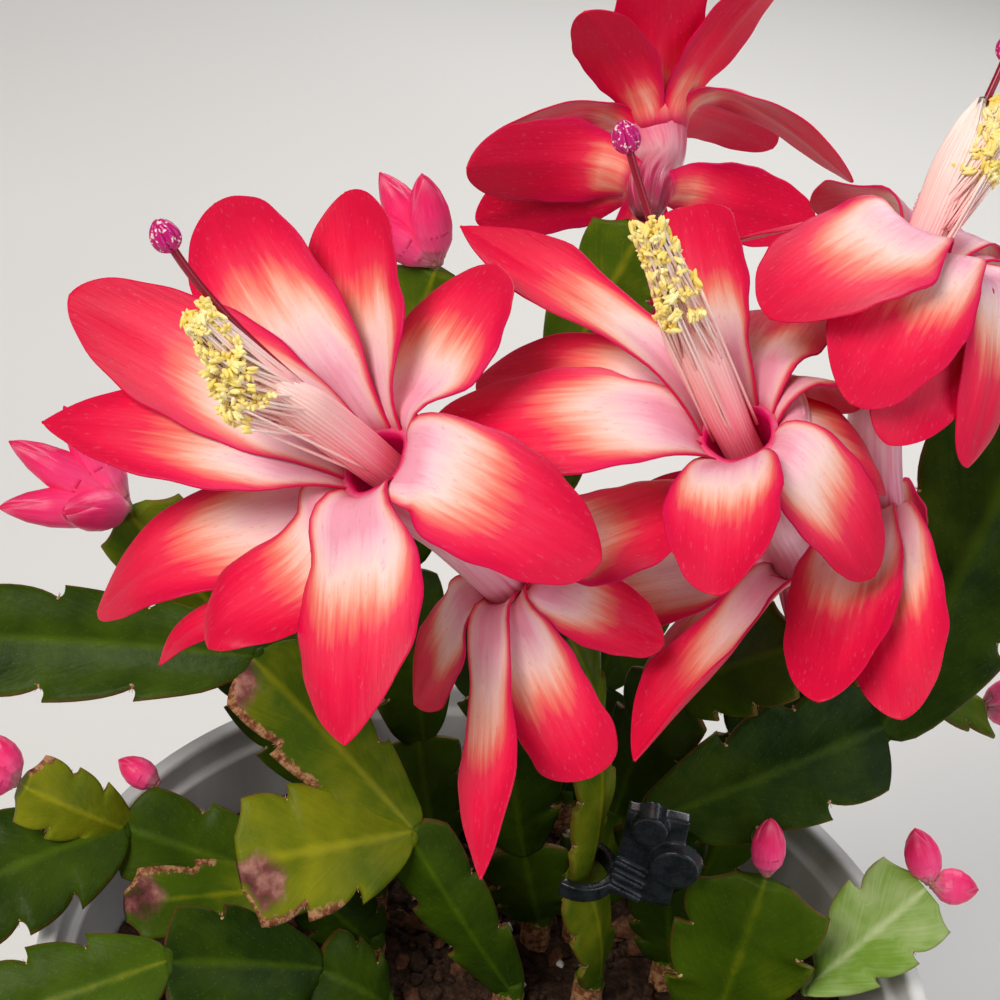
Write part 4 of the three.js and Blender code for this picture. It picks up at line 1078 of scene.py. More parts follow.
def widened(push):
    """Each row's push carried to the rows near it, with soft ends."""
    wide = np.pad(push, EASE_ROWS, "edge")
    size = len(push)
    push = np.max([wide[i : i + size] for i in range(2 * EASE_ROWS + 1)], axis=0)
    for _ in range(2):
        wide = np.pad(push, EASE_ROWS, "edge")
        push = np.mean([wide[i : i + size] for i in range(2 * EASE_ROWS + 1)], axis=0)
    return push


def ease_under(petal, above):
    """Tilts and bends a petal back wherever it would come through one that lies over it."""
    tree = grid_tree(above)
    turn = smooth((TEPAL_COLUMNS + 1) / 2)
    for _ in range(EASE_PASSES):
        push = np.zeros(petal["thick"].shape)
        for row, column in np.ndindex(push.shape):
            if TEPAL_ROWS[row] < EASE_FROM:
                continue
            point, way = Vector(petal["points"][row, column]), Vector(petal["normals"][row, column])
            down = tree.ray_cast(point, -way, EASE_REACH)[3]
            over = tree.ray_cast(point, way, TEPAL_GAP)[3]
            push[row, column] = TEPAL_GAP + down if down else TEPAL_GAP - over if over else 0
        left = widened(push[:, TEPAL_COLUMNS <= 0.2].max(1))
        right = widened(push[:, TEPAL_COLUMNS >= -0.2].max(1))
        push = (np.outer(left, 1 - turn) + np.outer(right, turn)) * smooth(TEPAL_ROWS / 0.25)[:, None]
        petal["points"] = petal["points"] - petal["normals"] * push[..., None]


def add_tepal(skin, petal, flush, slot):
    """A tepal's blade. Flush is how far red spreads over it, and it shows more on the outer face."""
    offset = petal["normals"] * petal["thick"][..., None]
    spot = petal["spot"]
    inner, outer = spot + (0, 0, flush), spot + (0, 0, flush + 1)
    skin.blade(petal["points"] + offset, petal["points"] - offset, inner, outer, petal["place"], slot)


# Flower tube, stamens and style

TUBE_ROWS = 34
TUBE_SIDES = 30
THROAT_ROWS = 14
TUBE_FLUTES = 5
TUBE_GIRTH = 18


def axis_frame(centre, aim):
    """A centre, the axis through it, and the ways up and aside that are square to the axis."""
    axis = unit(aim)
    up = unit(square_to(np.array([0, 0, 1.0]), axis))
    return np.asarray(centre, float), axis, up, np.cross(up, axis)


def add_tube(skin, curve, up, slot):
    """The flower tube with its hollow throat, in one closed body: out along its length, in at the mouth."""
    share = np.linspace(0, 1, TUBE_ROWS)
    inward = np.linspace(1, THROAT_FLOOR, THROAT_ROWS)
    outside = np.interp(share, *zip(*TUBE_OUTSIDE))
    outside[2:-2] = np.convolve(outside, np.ones(5) / 5, "valid")
    inside = np.interp(inward, *zip(*THROAT[::-1]))
    t = np.concatenate([share, inward])
    radii = np.concatenate([outside, inside])
    turn = circle_of(TUBE_SIDES)
    flutes = 1 + 0.035 * np.cos(TUBE_FLUTES * turn)[None, :] * smooth(t / 0.2)[:, None]
    rings = rings_round(bezier(curve, t), bezier_ways(curve, t), radii[:, None] * flutes, TUBE_SIDES, up)
    length = np.linalg.norm(np.diff(bezier(curve, share), axis=0), axis=1).sum()
    along = np.repeat(t, TUBE_SIDES)
    across = np.tile(np.linspace(-1, 1, TUBE_SIDES, endpoint=False), len(t))
    face = np.repeat(np.concatenate([np.zeros(TUBE_ROWS), np.ones(THROAT_ROWS)]), TUBE_SIDES)
    spot = np.stack([along, across, face], -1)
    place = np.stack([across * TUBE_GIRTH / 2, along * length, face], -1)
    skin.tube(rings, spot, place, slot)


# Stamens: a sheath of filaments grown side by side. Shares are of the bundle's length
SHEATH_END = 0.86
SHEATH_HALF_WIDTH = ((0, 2.0), (0.28, 2.4), (0.46, 2.9), (0.76, 3.5), (0.9, 2.8), (1, 0.6))
SHEATH_HALF_DEPTH = ((0, 1.8), (0.35, 2.0), (0.72, 2.1), (0.9, 1.4), (1, 0.4))
SHEATH_LEAD = 1.5
SHEATH_ROWS = 46
SHEATH_SIDES = 140
SHEATH_RIBS = 37
ANTHERS = 205
STRAY_FILAMENTS = 8
FILAMENT_ROWS = 9
FILAMENT_SIDES = 5
FILAMENT_RADIUS = 0.15
BUNDLE_OFFSET = 1.2
STYLE_OFFSET = 1.5
STYLE_RISE = 0.44
STYLE_STAND = 2.6
FLOOR_CLEARANCE = 0.4
ANTHER_ROWS = 6
ANTHER_SIDES = 8
ANTHER_HALF_LENGTH = 0.78
ANTHER_RADIUS = 0.31
ANTHER_HALF_GAP = 0.23
ANTHER_BEND = 0.12
ANTHER_LEAD = 0.15
STYLE_ROWS = 40
STYLE_SIDES = 12
STYLE_RADIUS = 0.45
STYLE_FOOT_RADIUS = 0.6
LOBES = 7
LOBE_ROWS = 14
LOBE_SIDES = 10
LOBE_RADIUS = 0.5
LOBE_FROM = -0.8
LOBE_LENGTH = 3.1


def add_filament(skin, points, radius, chance, slot):
    """A single filament, a little thinner towards its anther."""
    share = np.linspace(0, 1, FILAMENT_ROWS)
    taper = radius * lerp(1.15, 0.8, share)
    line, ways = bezier(points, share), bezier_ways(points, share)
    rings = rings_round(line, ways, taper, FILAMENT_SIDES, ASIDE)
    length = np.linalg.norm(np.asarray(points[-1]) - points[0])
    spot, place = ring_grid(FILAMENT_ROWS, FILAMENT_SIDES, length, 1, chance)
    skin.tube(rings, spot * (0.5, 1, 1) + (0.5, 0, 0), place, slot)


def add_anther(skin, tip, way, draw, slot):
    """Two plump lobes side by side across the end of a filament."""
    way = unit(way + draw.normal(size=3) * 0.8)
    beside = unit(np.cross(way, draw.normal(size=3)))
    share = np.linspace(-1, 1, ANTHER_ROWS)
    profile = np.sqrt(np.clip(1 - (share * 0.985) ** 2, 0, 1)) * (1 + 0.12 * share)
    size = draw.uniform(0.66, 0.94)
    ways = np.tile(way, (ANTHER_ROWS, 1))
    for lobe in (-1, 1):
        centre = tip + beside * lobe * ANTHER_HALF_GAP * size + way * ANTHER_LEAD
        bend = np.outer(ANTHER_BEND * share**2, beside * lobe)
        centres = centre + np.outer(share * ANTHER_HALF_LENGTH * size, way) + bend
        rings = rings_round(centres, ways, profile * ANTHER_RADIUS * size, ANTHER_SIDES, beside)
        skin.tube(rings, *ring_grid(ANTHER_ROWS, ANTHER_SIDES, 1, 1, draw.uniform()), slot)


def bundle_spot(bundle, style_side, share, across, front):
    """A point beside the bundle's middle line, or past its end, in millimetres across and to the style."""
    at = min(1.0, share)
    along = bezier_ways(bundle, at)[0]
    face = unit(square_to(style_side, along))
    beyond = max(0, share - 1) * np.linalg.norm(bundle[-1] - bundle[0])
    return bezier(bundle, at)[0] + along * beyond + np.cross(along, face) * across + face * front


def add_sheath(skin, bundle, style_side, girth, end):
    """Filaments grown side by side right round the style, ribbed, and ragged where they part."""
    turn = circle_of(SHEATH_SIDES)
    part = 1 - (1 - np.linspace(0, 1, SHEATH_ROWS)) ** 1.3
    share = part * end
    length = np.linalg.norm(bundle[-1] - bundle[0])
    half = np.interp(part, *zip(*SHEATH_HALF_WIDTH))
    depth = np.interp(part, *zip(*SHEATH_HALF_DEPTH))
    for profile in (half, depth):
        profile[2:-2] = np.convolve(profile, np.ones(5) / 5, "valid")
    half = half * lerp(1, girth, smooth(part / 0.4))
    inside = np.minimum(share, 1)
    ways = bezier_ways(bundle, inside)
    face = unit(style_side - ways * (ways @ style_side)[:, None])
    beside = np.cross(ways, face)
    sway = turn[None, :] * SHEATH_RIBS + 0.8 * np.sin(3 * turn[None, :] + 5 * share[:, None])
    rib = 1 + 0.032 * np.cos(sway) * smooth(share / 0.1)[:, None]
    rib = rib + 0.03 * np.cos(5 * turn[None, :] + 2 * share[:, None]) * smooth(share / 0.3)[:, None]
    ragged = 1.3 * wave(np.stack([np.cos(turn), np.sin(turn)], -1) * 3, 1.1, 8)
    ragged = ragged[None, :] * smooth((part - 0.7) / 0.3)[:, None]
    lead = SHEATH_LEAD * lerp(1, 0.6, smooth((share - 0.5) / 0.4))
    middle = bezier(bundle, inside) + lead[:, None] * face + ((share - inside) * length)[:, None] * ways
    oval = np.cos(turn)[None, :, None] * (half[:, None] * beside)[:, None]
    oval = oval + np.sin(turn)[None, :, None] * (depth[:, None] * face)[:, None]
    rings = middle[:, None] + oval * rib[..., None] + ragged[..., None] * ways[:, None]
    along = np.broadcast_to(share[:, None], rib.shape)
    columns = np.broadcast_to(turn[None, :] / np.pi - 1, rib.shape)
    spot = np.stack([along, columns, 0 * along], -1).reshape(-1, 3)
    place = np.stack([3 * np.pi * np.abs(columns), along * length, np.sign(columns)], -1).reshape(-1, 3)
    skin.tube(rings, spot, place, 0)


def make_stamens(name, bloom, curve, materials):
    """The sheath leaves the throat on one side, and its filaments part near the end, each with an anther."""
    skin = Skin()
    draw = np.random.default_rng(sum(map(ord, name)))
    anthers, stigma = np.array(bloom["anthers"], float), np.array(bloom["stigma"], float)
    axis = bezier_ways(curve, THROAT_FLOOR)[0]
    floor = bezier(curve, THROAT_FLOOR)[0] + axis * FLOOR_CLEARANCE
    style_side = unit(square_to(stigma - anthers, axis))
    reach = np.linalg.norm(anthers - floor)
    foot = floor - style_side * BUNDLE_OFFSET
    rise = foot + axis * reach * 0.45
    shoulder = lerp(anthers, floor, 0.3) - style_side * 0.6
    bundle = np.array([foot, rise, shoulder, anthers])
    hood = bloom.get("hood", SHEATH_END)
    add_sheath(skin, bundle, style_side, bloom["girth"], hood)
    aside, ahead, slant = bloom["cluster"]
    for i in range(ANTHERS + STRAY_FILAMENTS):
        stray = i >= ANTHERS
        part = draw.uniform(0.0, 0.3) if stray else draw.uniform()
        end = lerp(0.79, 1.12, part)
        fan = draw.uniform(0, 2 * math.pi)
        far = draw.uniform(1.1, 1.35) if stray else draw.uniform(0.1, 1.1) ** 0.6
        across = aside + math.cos(fan) * far * lerp(3.1, 1.9, part) * bloom["girth"]
        front = ahead + math.sin(fan) * far * lerp(2.2, 1.3, part) + slant * (part - 0.5)
        tip = bundle_spot(bundle, style_side, end, across, front)
        root = 0.3 if stray else min(0.72, end - draw.uniform(0.16, 0.3))
        wide = (math.cos(fan) * 2.6, SHEATH_LEAD + math.sin(fan) * 1.7)
        start = bundle_spot(bundle, style_side, root, *wide)
        bend = (lerp(wide[0], across, 0.7), lerp(wide[1], front, 0.6))
        out = bundle_spot(bundle, style_side, lerp(root, end, 0.6), *bend)
        add_filament(skin, [start, out, tip], FILAMENT_RADIUS * draw.uniform(0.85, 1.15), i, 0)
        add_anther(skin, tip, unit(tip - out), draw, 1)
    place_piece(f"{name}_filaments", mesh_of(name, skin), materials, "cream_stamen", f"bloom_{name}_stamens")
    foot = floor + style_side * STYLE_OFFSET
    rise = axis * np.linalg.norm(stigma - foot) * STYLE_RISE
    make_style(name, np.array([foot, foot + rise, anthers + style_side * STYLE_STAND, stigma]))


def make_style(name, curve):
    """A smooth shaft with a knob of seven stigma lobes that lean together."""
    skin = Skin()
    stigma = curve[-1]
    share = np.linspace(0, 1, STYLE_ROWS)
    radii = np.where(share < 0.06, STYLE_FOOT_RADIUS, STYLE_RADIUS) * lerp(1.0, 0.92, share)
    rings = rings_round(bezier(curve, share), bezier_ways(curve, share), radii, STYLE_SIDES, ASIDE)
    skin.tube(rings, *ring_grid(STYLE_ROWS, STYLE_SIDES, 30, 3, 0), 0)
    way = bezier_ways(curve, 1)[0]
    first = unit(np.cross(way, ASIDE))
    share = np.linspace(0, 1, LOBE_ROWS)
    bulge = 0.95 * np.sin(np.pi * share**0.8) ** 0.8 + 0.18
    swell = LOBE_RADIUS * np.sqrt(np.clip(np.sin(np.pi * np.clip(share, 0.02, 0.98)), 0, 1))
    for lobe in range(LOBES):
        outward = turned(first, way, 2 * np.pi * lobe / LOBES)
        centres = stigma + np.outer(LOBE_FROM + LOBE_LENGTH * share, way) + np.outer(bulge * 0.85, outward)
        ways = unit(np.gradient(centres, axis=0))
        rings = rings_round(centres, ways, swell, LOBE_SIDES, np.cross(way, outward))
        skin.tube(rings, *ring_grid(LOBE_ROWS, LOBE_SIDES, 3, 2, lobe, face=1), 0)
    place_piece(f"{name}_stigma", mesh_of(name, skin), [STYLE], "magenta_style", f"bloom_{name}_style")


def lies_over(row):
    """How low a tepal lies: the more it leans back, the lower, unless it says that it lies over."""
    return row[1] - (row[-1].get("over", 0) if isinstance(row[-1], dict) else 0)


def make_bloom(name, bloom):
    """A bloom: its tube, its two whorls of tepals from the top down, its stamens and its style."""
    base, mouth = np.array(bloom["base"], float), np.array(bloom["mouth"], float)
    aim, rise = unit(bloom["aim"]), unit(bloom["rise"])
    pull = np.linalg.norm(mouth - base) * TUBE_PULL
    curve = np.array([base, base + rise * pull, mouth - aim * pull, mouth])
    top = axis_frame(mouth, aim)
    low = axis_frame(bezier(curve, LOW_TIER)[0], bezier_ways(curve, LOW_TIER)[0])
    skin = Skin()
    add_tube(skin, curve, top[2], 1)
    petals = [tepal_surface(top, row, MOUTH_RING) for row in sorted(bloom["inner"], key=lies_over)]
    petals += [tepal_surface(low, row, LOW_RING) for row in sorted(bloom["outer"], key=lies_over)]
    for i, petal in enumerate(petals):
        if i:
            ease_under(petal, petals[:i])
        add_tepal(skin, petal, bloom.get("flush", 0), 0)
    place_piece(f"{name}_petals", mesh_of(name, skin), [PETAL, TUBE], "red_tepal", f"bloom_{name}_tepals")
    make_stamens(name, bloom, curve, [FILAMENT, POLLEN])


# Stem segments

BLADE_COLUMNS = np.array(
    [-1, -0.97, -0.88, -0.7, -0.5, -0.3, -0.14, 0, 0.14, 0.3, 0.5, 0.7, 0.88, 0.97, 1]
)
PIECE_STEPS = 8
CORK_REACH = 2.4
BRUISE_RADIUS = 5
RIB_HEIGHT = 1.5
RIB_REACH = 1.7
BLADE_THICKNESS = 0.95
BLADE_SWELL = 0.35
EDGE_THICKNESS = 0.28
JOINT_OVERLAP = 0.5
JOINT_ROWS = 9
JOINT_SIDES = 16
JOINT_OVAL = (2.25, 1.6, 1.7)
AREOLE_ROWS = 5
AREOLE_SIDES = 8
AREOLE_RADIUS = 0.48
AREOLE_INSET = 0.25
AREOLE_ASIDE = (0.31, 0.22, 0.93)
HAIRS = 4
HAIR_RADII = (0.09, 0.06, 0.015)
HAIR_SIDES = 3
STUB_ROWS = 26
STUB_SIDES = 20


def blade_edge(draw, half, last):
    """One edge of a segment as (along, half width) points, with pointed teeth that lean forward."""
    def jitter(size):
        return draw.uniform(-size, size)

    joint = JOINT_HALF_WIDTH
    tip_one = (0.345 + jitter(0.015), half * (0.93 + jitter(0.03)))
    notch_one = (0.367 + jitter(0.005), half * (0.7 + jitter(0.03)))
    tip_two = (0.65 + jitter(0.015), half * (1.02 + jitter(0.02)))
    notch_two = (0.672 + jitter(0.005), half * (0.79 + jitter(0.03)))
    tip_three = (0.93 + jitter(0.01), half * (0.96 + jitter(0.04)))
    end = (0.995, BLUNT_TIP * half) if last else (1, joint)
    pieces = [
        ((0, joint * 0.9), (0.06, half * 0.62), tip_one),
        (tip_one, (tip_one[0] - 0.01, notch_one[1] * 1.06), notch_one),
        (notch_one, (0.45, half * 0.98), tip_two),
        (tip_two, (tip_two[0] - 0.01, notch_two[1] * 1.05), notch_two),
        (notch_two, (0.76, half * 1.04), tip_three),
        (tip_three, (0.93 if last else 0.985, half * (0.72 if last else 0.7)), end),
    ]
    rows = [bezier([(*p, 0) for p in piece], np.linspace(0, 1, PIECE_STEPS)[:-1])[:, :2] for piece in pieces]
    return np.concatenate([*rows, [end]])


def add_segment(skin, start, end, width, face, waist, draw, last, says, ages):
    """One flat segment: rounded midrib, thin edges, and narrow necks at its joints."""
    along = unit(end - start)
    sideways = unit(np.cross(along, face))
    normal = unit(np.cross(sideways, along))
    length = np.linalg.norm(end - start)
    half = width / 2
    left, right = blade_edge(draw, half, last), blade_edge(draw, half, last)
    rows = len(left)
    centre = lerp(np.linspace(0, 1, rows), (left[:, 0] + right[:, 0]) / 2, 0.7)
    centre = np.maximum.accumulate(centre)
    v = BLADE_COLUMNS[None, :]
    size = np.abs(v)
    edge = np.where(v < 0, left[:, 1][:, None], right[:, 1][:, None])
    edge_u = np.where(v < 0, left[:, 0][:, None], right[:, 0][:, None])
    u = lerp(centre[:, None], edge_u, size**1.5)
    hurt, sunk = np.zeros(u.shape), np.zeros(u.shape)
    if "cork" in says:
        first, final, side = says["cork"]
        inward = (1 - v * side) * half
        hurt = smooth(1 - inward / CORK_REACH) * smooth((u - first) / 0.1) * smooth((final + 0.04 - u) / 0.04)
    if "bruise" in says:
        at, across = says["bruise"]
        sunk = smooth(1.2 - np.hypot((u - at) * length, (v - across) * half) / BRUISE_RADIUS)
    bow = BOW * u * (1 - u)
    cup = draw.uniform(-0.12, 0.12) * half
    sway_height = draw.uniform(0.25, 0.6)
    sways = u * draw.uniform(1.0, 1.8) + draw.uniform()
    sway = sway_height * np.sin(2 * np.pi * sways + (v > 0) * 2.0)
    inside = smooth(u / 0.15) * smooth((1 - u) / 0.12)
    lift = bow + (cup + sway) * size**2 * inside
    reach_mm = v * edge
    neck = np.maximum(1 - smooth(u / 0.1), 0 if last else 1 - smooth((1 - u) / 0.08))
    ridge = RIB_HEIGHT * np.exp(-((reach_mm / RIB_REACH) ** 2)) + BLADE_SWELL * (1 - size**2)
    thick = (BLADE_THICKNESS + ridge) * lerp(1.0, 1.08, neck)
    thick = np.where(size > 0.96, thick * 0.8, thick)
    thick = np.where(size > 0.99, EDGE_THICKNESS + 0.5 * neck, thick) / 2
    middle = start + u[..., None] * length * along + reach_mm[..., None] * sideways
    # The joint end turns to meet the one before it
    blend = (1 - smooth(u / 0.16))[..., None]
    middle = middle + blend * reach_mm[..., None] * (waist - sideways)
    spot = np.stack([u, np.broadcast_to(v, u.shape), np.zeros(u.shape)], -1)
    place = np.stack([reach_mm, u * length, np.full(u.shape, draw.uniform(0, 40))], -1)
    upper = middle + normal * (lift + thick)[..., None]
    lower = middle + normal * (lift - thick)[..., None]
    skin.blade(upper, lower, spot, spot, place, 0)
    light = says.get("light", draw.uniform(0.0, 0.3))
    tone = np.stack([np.full(u.shape, light), hurt, sunk], -1).reshape(-1, 3)
    ages.append(np.concatenate([tone, tone]))
    for side, edge_line in ((-1, left), (1, right)):
        for row in (2 * PIECE_STEPS - 2, 4 * PIECE_STEPS - 4):
            at_u, at_w = edge_line[row]
            spot_at = start + along * at_u * length + sideways * side * (at_w - AREOLE_INSET)
            spot_at = spot_at + normal * BOW * at_u * (1 - at_u)
            column = 0 if side < 0 else -1
            spot_at = spot_at + normal * (lift[row, column] - bow[row, column])
            add_areole(skin, spot_at, unit(sideways * side + along * 0.6), draw, ages)
    if last:
        add_areole(skin, end - along * 1.4, along, draw, ages, 1.3)
    return sideways, normal


def add_areole(skin, centre, way, draw, ages, size=1.0):
    """A felt pad in a notch, with a few short bristles."""
    before = skin.count
    share = np.linspace(0, 1, AREOLE_ROWS)
    beside = unit(np.cross(way, AREOLE_ASIDE))
    centres = centre + np.outer(lerp(-0.35, 0.3, share) * size, way)
    radii = AREOLE_RADIUS * size * np.sqrt(np.clip(1 - (2 * share * 0.98 - 0.98) ** 2, 0.02, 1))
    rings = rings_round(centres, np.tile(way, (AREOLE_ROWS, 1)), radii, AREOLE_SIDES, beside)
    skin.tube(rings, (0, 0, 0), (0, 0, 0), 1)
    for _ in range(HAIRS):
        hair = unit(way + draw.normal(size=3) * 0.45)
        tip = centre + hair * draw.uniform(0.7, 1.1) * size
        line = np.stack([centre, centre + hair * 0.5 * size, tip])
        ring = rings_round(line, np.tile(hair, (3, 1)), HAIR_RADII, HAIR_SIDES, beside)
        skin.tube(ring, (0, 0, 0), (0, 0, 0), 1)
    ages.append(np.zeros((skin.count - before, 3)))


def add_chain(skin, start, path, draw, ages, from_root):
    """A chain of segments, each from the end of the one before it, with a collar at each joint."""
    start = np.asarray(start, float)
    before = None
    for index, (joint, width, face, *rest) in enumerate(path):
        says = rest[0] if rest else {}
        end = np.asarray(joint, float)
        along = unit(end - start)
        face = np.asarray(face, float)
        sideways = unit(np.cross(along, face))
        waist = sideways if before is None else unit(sideways + before)
        last = index == len(path) - 1
        base = start - along * JOINT_OVERLAP
        add_segment(skin, base, end, width, face, waist, draw, last, says, ages)
        if index or not from_root:
            add_joint(skin, start, along, waist, says.get("light", 0.2), ages)
        before = sideways
        start = end


def add_joint(skin, centre, along, waist, light, ages):
    """The narrow collar where one segment grows from the end of another."""
    share = np.linspace(-1, 1, JOINT_ROWS)
    normal = np.cross(waist, along)
    turn = circle_of(JOINT_SIDES)
    nipped = 1 - 0.1 * np.exp(-((share / 0.25) ** 2))
    profile = np.sqrt(np.clip(1 - (share * 0.98) ** 2, 0.03, 1)) * nipped
    across, deep, reach = JOINT_OVAL
    oval = np.cos(turn)[:, None] * waist * across + np.sin(turn)[:, None] * normal * deep
    rings = centre + (share * reach)[:, None, None] * along + profile[:, None, None] * oval
    skin.tube(rings, (0.5, 0.3, 0), (0, 0, 3), 0)
    ages.append(np.broadcast_to((light, 0.25, 0), (JOINT_ROWS * JOINT_SIDES, 3)))


def make_stem(name, stem):
    """A stem: a woody stub in the soil, and the chains of segments that grow from it."""
    skin, ages = Skin(), []
    draw = np.random.default_rng(sum(map(ord, name)))
    foot = np.array([*stem["root"], SOIL_TOP - STUB_DEPTH], float)
    collar = np.array([*stem["root"], SOIL_TOP + STUB_RISE], float)
    share = np.linspace(0, 1.12, STUB_ROWS)
    centres = lerp(foot, collar, share[:, None])
    turn = circle_of(STUB_SIDES)
    bark = 1 + 0.07 * np.sin(turn * 3 + share[:, None] * 4) + 0.05 * np.sin(turn * 7 + share[:, None] * 23)
    radii = STUB_RADIUS * bark * lerp(1.0, 0.8, smooth((share - 0.95) / 0.17))[:, None]
    up = np.tile([0, 0, 1.0], (STUB_ROWS, 1))
    rings = rings_round(centres, up, radii, STUB_SIDES, (1, 0, 0))
    skin.tube(rings, *ring_grid(STUB_ROWS, STUB_SIDES, 14, 12, 5), 0)
    cork = np.repeat(1 - 0.75 * smooth((share - 0.75) / 0.35), STUB_SIDES)
    ages.append(np.stack([np.full_like(cork, 0.2), cork, np.zeros_like(cork)], -1))
    add_chain(skin, collar, stem["path"], draw, ages, True)
    for branch in stem.get("branches", ()):
        add_chain(skin, branch["from"], branch["path"], draw, ages, False)
    mesh = mesh_of(name, skin)
    paint = mesh.attributes.new("age", "FLOAT_VECTOR", "POINT")
    paint.data.foreach_set("vector", np.concatenate(ages).astype(np.float32).ravel())
    green, slot = (YOUNG, "young_stem") if stem.get("young") else (GREEN, "green_stem")
    place_piece(f"{name}_blades", mesh, [green, BRISTLE], slot, name)


# Buds

# The girth of a bud along its length, and its whorls of scales as (low, high, count)
BUD_PROFILE = (
    (0, 0.3),
    (0.05, 0.36),
    (0.12, 0.5),
    (0.25, 0.86),
    (0.42, 1),
    (0.6, 0.95),
    (0.78, 0.7),
    (0.92, 0.36),
    (1, 0.04),
)
BUD_WHORLS = ((0.08, 0.46, 3), (0.2, 0.8, 3), (0.4, 0.97, 3))
BUD_ROWS = 30
BUD_SIDES = 24
SCALE_ROWS = 16
SCALE_COLUMNS = 9
SCALE_THICKNESS = 0.18
SCALE_HALF_ANGLE = 1.25


def bud_seat(name, index, u, side):
    """Where a bud sits: clear of the end of a stem's segment, or of one of its edges."""
    stem = STEMS[name]
    path = stem["path"]
    collar = (*stem["root"], SOIL_TOP + STUB_RISE)
    start = np.array(path[index - 1][0] if index else collar, float)
    joint, width, face = path[index][:3]
    end = np.array(joint, float)
    along = unit(end - start)
    sideways = unit(np.cross(along, face))
    share = next((w for at, w in SEGMENT_SHARES if at >= u), BLUNT_TIP)
    reach = side * (share * width / 2 + BUD_GAP)
    return lerp(start, end, u) + sideways * reach + along * (0 if side else BUD_GAP)


def add_bud(skin, seat, tip, radius, draw):
    """A closed bud: a twisted core, and whorls of scales that lie over each other."""
    way = unit(tip - seat)
    length = np.linalg.norm(tip - seat)
    beside = unit(np.cross(way, ASIDE))
    share = np.linspace(0, 1, BUD_ROWS)
    table = np.interp(share, *zip(*BUD_PROFILE))
    table[1:-1] = np.convolve(table, (0.25, 0.5, 0.25), "valid")
    turn = circle_of(BUD_SIDES)
    swirl = 1 + 0.05 * np.cos(3 * (turn[None, :] - 2.2 * share[:, None])) * smooth(share / 0.3)[:, None]
    centres = seat + np.outer(share * length, way)
    ways = np.tile(way, (BUD_ROWS, 1))
    rings = rings_round(centres, ways, radius * 0.95 * table[:, None] * swirl, BUD_SIDES, beside)
    skin.tube(rings, *ring_grid(BUD_ROWS, BUD_SIDES, length, radius * 6, draw.uniform(0, 9)), 0)
    for whorl, (low, high, count) in enumerate(BUD_WHORLS):
        for i in range(count):
            angle = 2 * np.pi * (i / count + whorl * 0.4)
            add_scale(skin, seat, way, beside, length, radius, low, high, angle, draw)


def add_scale(skin, seat, way, beside, length, radius, low, high, angle, draw):
    """A scale that hugs the bud, with its point a little free."""
    s = np.linspace(0, 1, SCALE_ROWS)[:, None]
    v = np.linspace(-1, 1, SCALE_COLUMNS)[None, :]
    t = lerp(low, high, s) + 0 * v
    table = np.interp(t, *zip(*BUD_PROFILE))
    spread = np.sqrt(np.clip(1 - s**2.6, 0.0004, 1)) * lerp(0.75, 1, smooth(s / 0.3))
    spread = SCALE_HALF_ANGLE * spread
    phi = angle + v * spread
    lift = (0.12 + 0.06 * s) * (1 - 0.7 * v**4) * (1 - 0.8 * s**4)
    radial = np.cos(phi)[..., None] * beside + np.sin(phi)[..., None] * np.cross(way, beside)
    distance = radius * 0.97 * table + lift
    surface = seat + (t * length)[..., None] * way + distance[..., None] * radial
    inner = surface - radial * SCALE_THICKNESS
    zero = np.zeros(t.shape)
    edge = smooth((np.maximum(np.abs(v), s) - 0.75) / 0.25)
    spot = np.stack([t, v + zero, edge], -1)
    place = np.stack([v * spread * radius, t * length, zero + draw.uniform(0, 9)], -1)
    skin.blade(surface, inner, spot, spot, place, 0)


def make_buds(name, bunch):
    """A bunch of buds on one seat."""
    on, tips, radius = bunch
    skin = Skin()
    draw = np.random.default_rng(sum(map(ord, name)))
    seat = bud_seat(*on)
    for tip in tips:
        add_bud(skin, seat, np.array(tip, float), radius, draw)
    place_piece(f"{name}_scales", mesh_of(name, skin), [BUD], "pink_bud", name)


# Pot, soil and clip

POT_SIDES = 170
DRAIN_SIDES = 32
EDGE_RADIUS = 0.9
SOIL_GAP = 0.45
SOIL_RINGS = 105
SOIL_SIDES = 190
CRUMB_ROWS = 5
CRUMB_SIDES = 6
# Loose bits on the soil: (count, sizes, material slot, flatness, length)
CRUMBS = (
    (1400, (0.45, 1.3), 0, 0.8, 1.1),
    (170, (1.0, 2.2), 1, 0.35, 1.8),
    (70, (0.7, 1.4), 2, 0.9, 1.0),
)


def lathe(profile, sides):
    """A closed solid of revolution round +Z from (radius, height) points that start and end on the axis."""
    skin = Skin()
    profile = np.array(profile, float)
    profile[[0, -1], 0] = 0.01
    turn = circle_of(sides)
    x = profile[:, 0][:, None] * np.cos(turn)
    y = profile[:, 0][:, None] * np.sin(turn)
    z = np.broadcast_to(profile[:, 1][:, None], x.shape)
    skin.tube(np.stack([x, y, z], -1), (0, 0, 0), (0, 0, 0), 0)
    return skin


def rounded(points, radius, steps=5):
    """A profile with each inner corner turned into a small curve."""
    points = np.array(points, float)
    out = [points[0]]
    for before, corner, after in zip(points[:-2], points[1:-1], points[2:]):
        cut = min(radius, np.linalg.norm(corner - before) * 0.45, np.linalg.norm(after - corner) * 0.45)
        a, b = corner + unit(before - corner) * cut, corner + unit(after - corner) * cut
        curve = bezier([(*a, 0), (*corner, 0), (*b, 0)], np.linspace(0, 1, steps))
        out.extend(curve[:, :2])
    return np.array([*out, points[-1]])


def inner_radius(z):
    """The radius of the pot's inner wall at a height."""
    top = RIM_RADIUS - RIM_LIP - LEDGE_WIDTH
    return lerp(BASE_RADIUS - WALL, top, (z - FLOOR) / (POT_HEIGHT - LEDGE_DROP - FLOOR))


